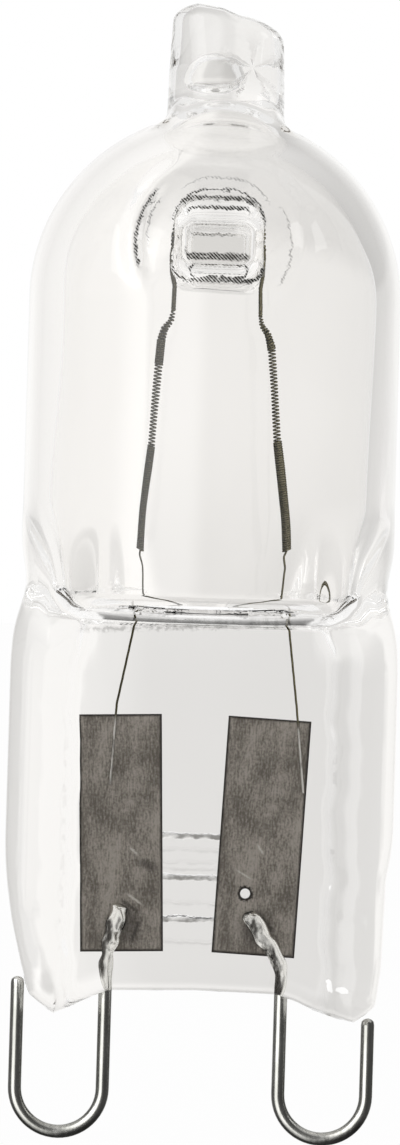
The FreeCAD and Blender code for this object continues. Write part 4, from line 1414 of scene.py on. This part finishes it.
@dataclass
class Studio:
    """White floor and surround, soft lamps and the camera.

    Levels are brightness. Spans are where a shade begins and is full: parts of a direction for the surround,
    millimetres for the floor and the card.
    """

    lean: float = math.radians(1.7)
    aim: Triple = (-0.243, 0.0, 19.458)
    frame_height: float = 39.12
    lens: float = 300.0
    sensor: float = 36.0
    floor_half: float = 3000.0
    farthest: float = 30000.0
    card_half: float = 60.0
    card_distance: float = 45.0
    card_level: float = 0.785
    card_rise: float = 0.13
    card_rise_span: Span = (15.0, 26.0)
    card_top_fall: float = 0.12
    card_top_span: Span = (33.0, 37.0)
    card_fall: float = 0.003
    card_left: float = -2.0
    card_left_rise: float = 0.035
    card_darkest: float = 0.6
    card_colour: Colour = (1.0, 0.99, 0.975, 1.0)
    bounces: int = 32
    front_level: float = 0.17
    left_level: float = 1.0
    left_span: Span = (-0.45, -0.8)
    right_level: float = 0.1
    right_span: Span = (0.1, 0.6)
    window_level: float = 2.3
    window_right: Span = (0.02, -0.25)
    window_left: Span = (-0.96, -0.7)
    window_front: Span = (-0.2, -0.6)
    back_span: Span = (0.6, 0.95)
    behind_level: float = 0.9
    behind_span: Span = (0.02, 0.5)
    overhead_level: float = 0.7
    overhead_span: Span = (0.5, 0.9)
    below_fall: float = 0.7
    below_span: Span = (-0.2, -0.7)
    clear_level: float = 0.9
    floor_colour: Colour = (0.9, 0.9, 0.9, 1.0)
    floor_white: float = 0.97
    flag_level: float = 0.1
    flag_near: Span = (7.0, 11.0)
    flag_far: Span = (28.0, 20.0)
    flag_side: Span = (9.0, 7.0)
    soft_level: float = 0.6
    lamps: tuple[Lamp, ...] = (
        Lamp("lamp_left", (-170.0, -120.0, 130.0), 110.0, 0.05),
        Lamp("lamp_right", (190.0, -60.0, 160.0), 60.0, 0.02),
    )

    def surround(self) -> None:
        """White to the camera; brighter behind and on the left for glass and metal; even for soft light."""
        world = bpy.data.worlds.new("studio_surround")
        bpy.context.scene.world = world
        sheet = NodeSheet(world)
        x, y, z = sheet.parts(sheet.node("ShaderNodeTexCoord", output="Generated"))
        overhead = z.ramp(*self.overhead_span) * self.overhead_level
        window = x.ramp(*self.window_right) * x.ramp(*self.window_left) * y.ramp(*self.window_front)
        room = (1.0 - x.ramp(*self.right_span)) * (self.front_level - self.right_level) + self.right_level
        studio = y.ramp(*self.back_span).larger(window * self.window_level).larger(room).larger(overhead)
        studio = studio * (1.0 - z.ramp(*self.below_span) * self.below_fall)
        clear = y.ramp(*self.behind_span) * self.behind_level
        clear = clear.larger(x.ramp(*self.left_span) * self.left_level)
        clear = clear.larger(overhead).larger(self.clear_level)
        camera = sheet.ray("Is Camera Ray")
        mirror = sheet.ray("Is Glossy Ray")
        through = sheet.ray("Is Transmission Ray").larger(sheet.trapped())
        opaque = mirror * studio + (1.0 - mirror) * self.soft_level
        level = camera + (1.0 - camera) * (through * clear + (1.0 - through) * opaque)
        light = sheet.node("ShaderNodeBackground", inputs={"Color": WHITE, "Strength": level})
        sheet.finish(light, "ShaderNodeOutputWorld")

    def floor(self) -> None:
        """A white floor that keeps a little of the object's shadow; through glass a dark flag lies on it."""
        sheet = NodeSheet(bpy.data.materials.new("studio_floor_white"))
        through = sheet.ray("Is Transmission Ray")
        x, y, _ = sheet.parts(sheet.place())
        flag = abs(y).ramp(*self.flag_near) * abs(y).ramp(*self.flag_far) * abs(x).ramp(*self.flag_side)
        shade = 1.0 - through * flag * (1.0 - self.flag_level)
        matt = sheet.node("ShaderNodeBsdfDiffuse", inputs={"Color": self.floor_colour})
        white = sheet.node("ShaderNodeEmission", inputs={"Color": WHITE, "Strength": shade})
        share = (sheet.ray("Is Camera Ray") * self.floor_white).larger(through)
        sheet.finish(sheet.mix(share, matt, white))
        corners = np.insert(SQUARE * self.floor_half, 2, 0.0, axis=1)
        floor = make_mesh_object("studio_floor", corners, SQUARE_FACES, sheet.owner)
        floor.visible_glossy = False

    def card(self) -> None:
        """A soft grey card behind the bulb that shows only through the glass, lighter on the left."""
        sheet = NodeSheet(bpy.data.materials.new("studio_card_grey"))
        x, _, z = sheet.parts(sheet.place())
        level = self.card_level + z.ramp(*self.card_rise_span) * self.card_rise - x * self.card_fall
        level = level + (self.card_left - x).larger(0.0) * self.card_left_rise
        level = level - z.ramp(*self.card_top_span) * self.card_top_fall
        level = level.larger(self.card_darkest).smaller(1.0)
        clear = sheet.node("ShaderNodeBsdfTransparent")
        grey = sheet.node("ShaderNodeEmission", inputs={"Color": self.card_colour, "Strength": level})
        sheet.finish(sheet.mix(sheet.ray("Is Transmission Ray"), clear, grey))
        corners = np.insert(SQUARE * self.card_half, 1, self.card_distance, axis=1)
        corners[:, 2] += self.card_half
        card = make_mesh_object("studio_card", corners, SQUARE_FACES, sheet.owner)

    def light(self, lamp: Lamp) -> None:
        """Adds a lamp that faces the object and isn't seen through the glass."""
        data = bpy.data.lights.new(lamp.name, "AREA")
        data.size = lamp.size * METRES
        data.energy = lamp.power
        thing = bpy.data.objects.new(lamp.name, data)
        spot = Vector(lamp.place) * METRES
        target = Vector(self.aim) * METRES
        turn = (target - spot).to_track_quat("-Z", "Y").to_matrix().to_4x4()
        thing.matrix_world = Matrix.Translation(spot) @ turn
        thing.visible_transmission = False
        bpy.context.scene.collection.objects.link(thing)

    def camera(self) -> None:
        """Looks along +Y at the middle of the photograph's frame, with the object's slight lean."""
        data = bpy.data.cameras.new("photo_camera")
        data.lens = self.lens
        data.sensor_width = self.sensor
        camera = bpy.data.objects.new("photo_camera", data)
        distance = self.frame_height * self.lens / self.sensor
        spot = (Vector(self.aim) - Vector((0.0, distance, 0.0))) * METRES
        turn = Matrix.Rotation(math.pi / 2, 4, "X") @ Matrix.Rotation(self.lean, 4, "Z")
        camera.matrix_world = Matrix.Translation(spot) @ turn
        data.clip_start = METRES
        data.clip_end = self.farthest * METRES
        bpy.context.scene.collection.objects.link(camera)
        bpy.context.scene.camera = camera

    def build(self) -> None:
        """Sets up the whole studio."""
        paths = bpy.context.scene.cycles
        paths.max_bounces = self.bounces
        paths.transmission_bounces = self.bounces
        paths.glossy_bounces = self.bounces
        self.surround()
        self.floor()
        self.card()
        for lamp in self.lamps:
            self.light(lamp)
        self.camera()
        bpy.context.scene.view_settings.view_transform = "Standard"


TUNGSTEN = DrawnWire(
    name="tungsten_wire_aged_painted_shade",
    dark=(0.03, 0.026, 0.01, 1.0),
    light=(0.2, 0.18, 0.11, 1.0),
    roughness=0.38,
    mark_grain=Grain(9.0, detail=4.0),
    mark_depth=0.01,
    sealed=(0.6, 0.585, 0.55, 1.0),
    sealed_dark=(0.14, 0.13, 0.115, 1.0),
    sealed_span=(11.0, 14.4),
    # painted shade on the side of the coil facing -X and on the left leg
    painted_shade_side=0.75,
    edge=(0.3, 0.27, 0.16, 1.0),
)
LEAD_WIRE = DrawnWire(
    name="molybdenum_wire_polished",
    dark=(0.4, 0.4, 0.37, 1.0),
    light=(0.6, 0.595, 0.565, 1.0),
    roughness=0.17,
    mark_grain=Grain(4.0, (1.5, 1.5, 0.2), 4.0),
    mark_depth=0.001,
    sealed=(0.85, 0.84, 0.8, 1.0),
    sealed_dark=(0.07, 0.066, 0.06, 1.0),
    sealed_span=(5.3, 9.0),
)
FOILS = {
    "foil_left": SealingFoil(
        name="molybdenum_foil_left",
        centre=(-2.68, 10.5),
        lean=math.radians(2.0),
        half_width=1.415,
        half_length=4.05,
        weld=(-2.5, 7.4),
        front=0.15,
        dents=(
            ((-2.75, 8.3), (-1.85, 7.72), 0.1),
            ((-1.85, 7.75), (-2.35, 6.5), 0.12),
            ((-2.2, 9.6), (-1.3, 9.25), 0.25),
        ),
        scratches=(((-2.42, 10.05), (-2.03, 9.72), 0.06), ((-2.5, 8.5), (-1.8, 8.0), 0.06)),
    ),
    "foil_right": SealingFoil(
        name="molybdenum_foil_right",
        centre=(2.12, 10.5),
        lean=math.radians(-2.5),
        half_width=1.415,
        half_length=4.05,
        weld=(2.05, 7.4),
        front=0.15,
        burn=(1.62, 8.55),
        dents=(((1.9, 8.15), (2.75, 7.1), 0.12), ((2.7, 7.3), (2.85, 6.4), 0.1)),
        scratches=(((1.95, 10.3), (2.25, 9.85), 0.06), ((1.2, 9.4), (1.9, 9.0), 0.05)),
    ),
}
LOOPS = (
    ContactLoop(side=Side.LEFT, lead_end=(-2.61, 8.09), free_end=5.5),
    ContactLoop(side=Side.RIGHT, lead_end=(1.72, 7.91), free_end=4.4),
)


def main() -> None:
    """Loads the frame, dresses each piece and sets up the studio."""
    logging.basicConfig(level=logging.INFO, format="%(name)s: %(message)s")
    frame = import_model()
    wires = WireTree()
    glass = GlassEnvelope().build(QuartzGlass().make())
    LOG.info("%s: %d faces", glass.name, len(glass.data.polygons))
    filament = Filament().build(wires, TUNGSTEN.make())
    LOG.info("%s: %d faces", filament.name, len(filament.data.polygons))
    lead_finish = LEAD_WIRE.make()
    for loop in LOOPS:
        lead = loop.build(wires, lead_finish)
        LOG.info("%s: %d faces", lead.name, len(lead.data.polygons))
    for node, foil in FOILS.items():
        sheet = frame["nodes"][node]
        sheet.data.materials.clear()
        sheet.data.materials.append(foil.make())
        LOG.info("%s: finished", node)
    Studio().build()


if __name__ == "__main__":
    main()
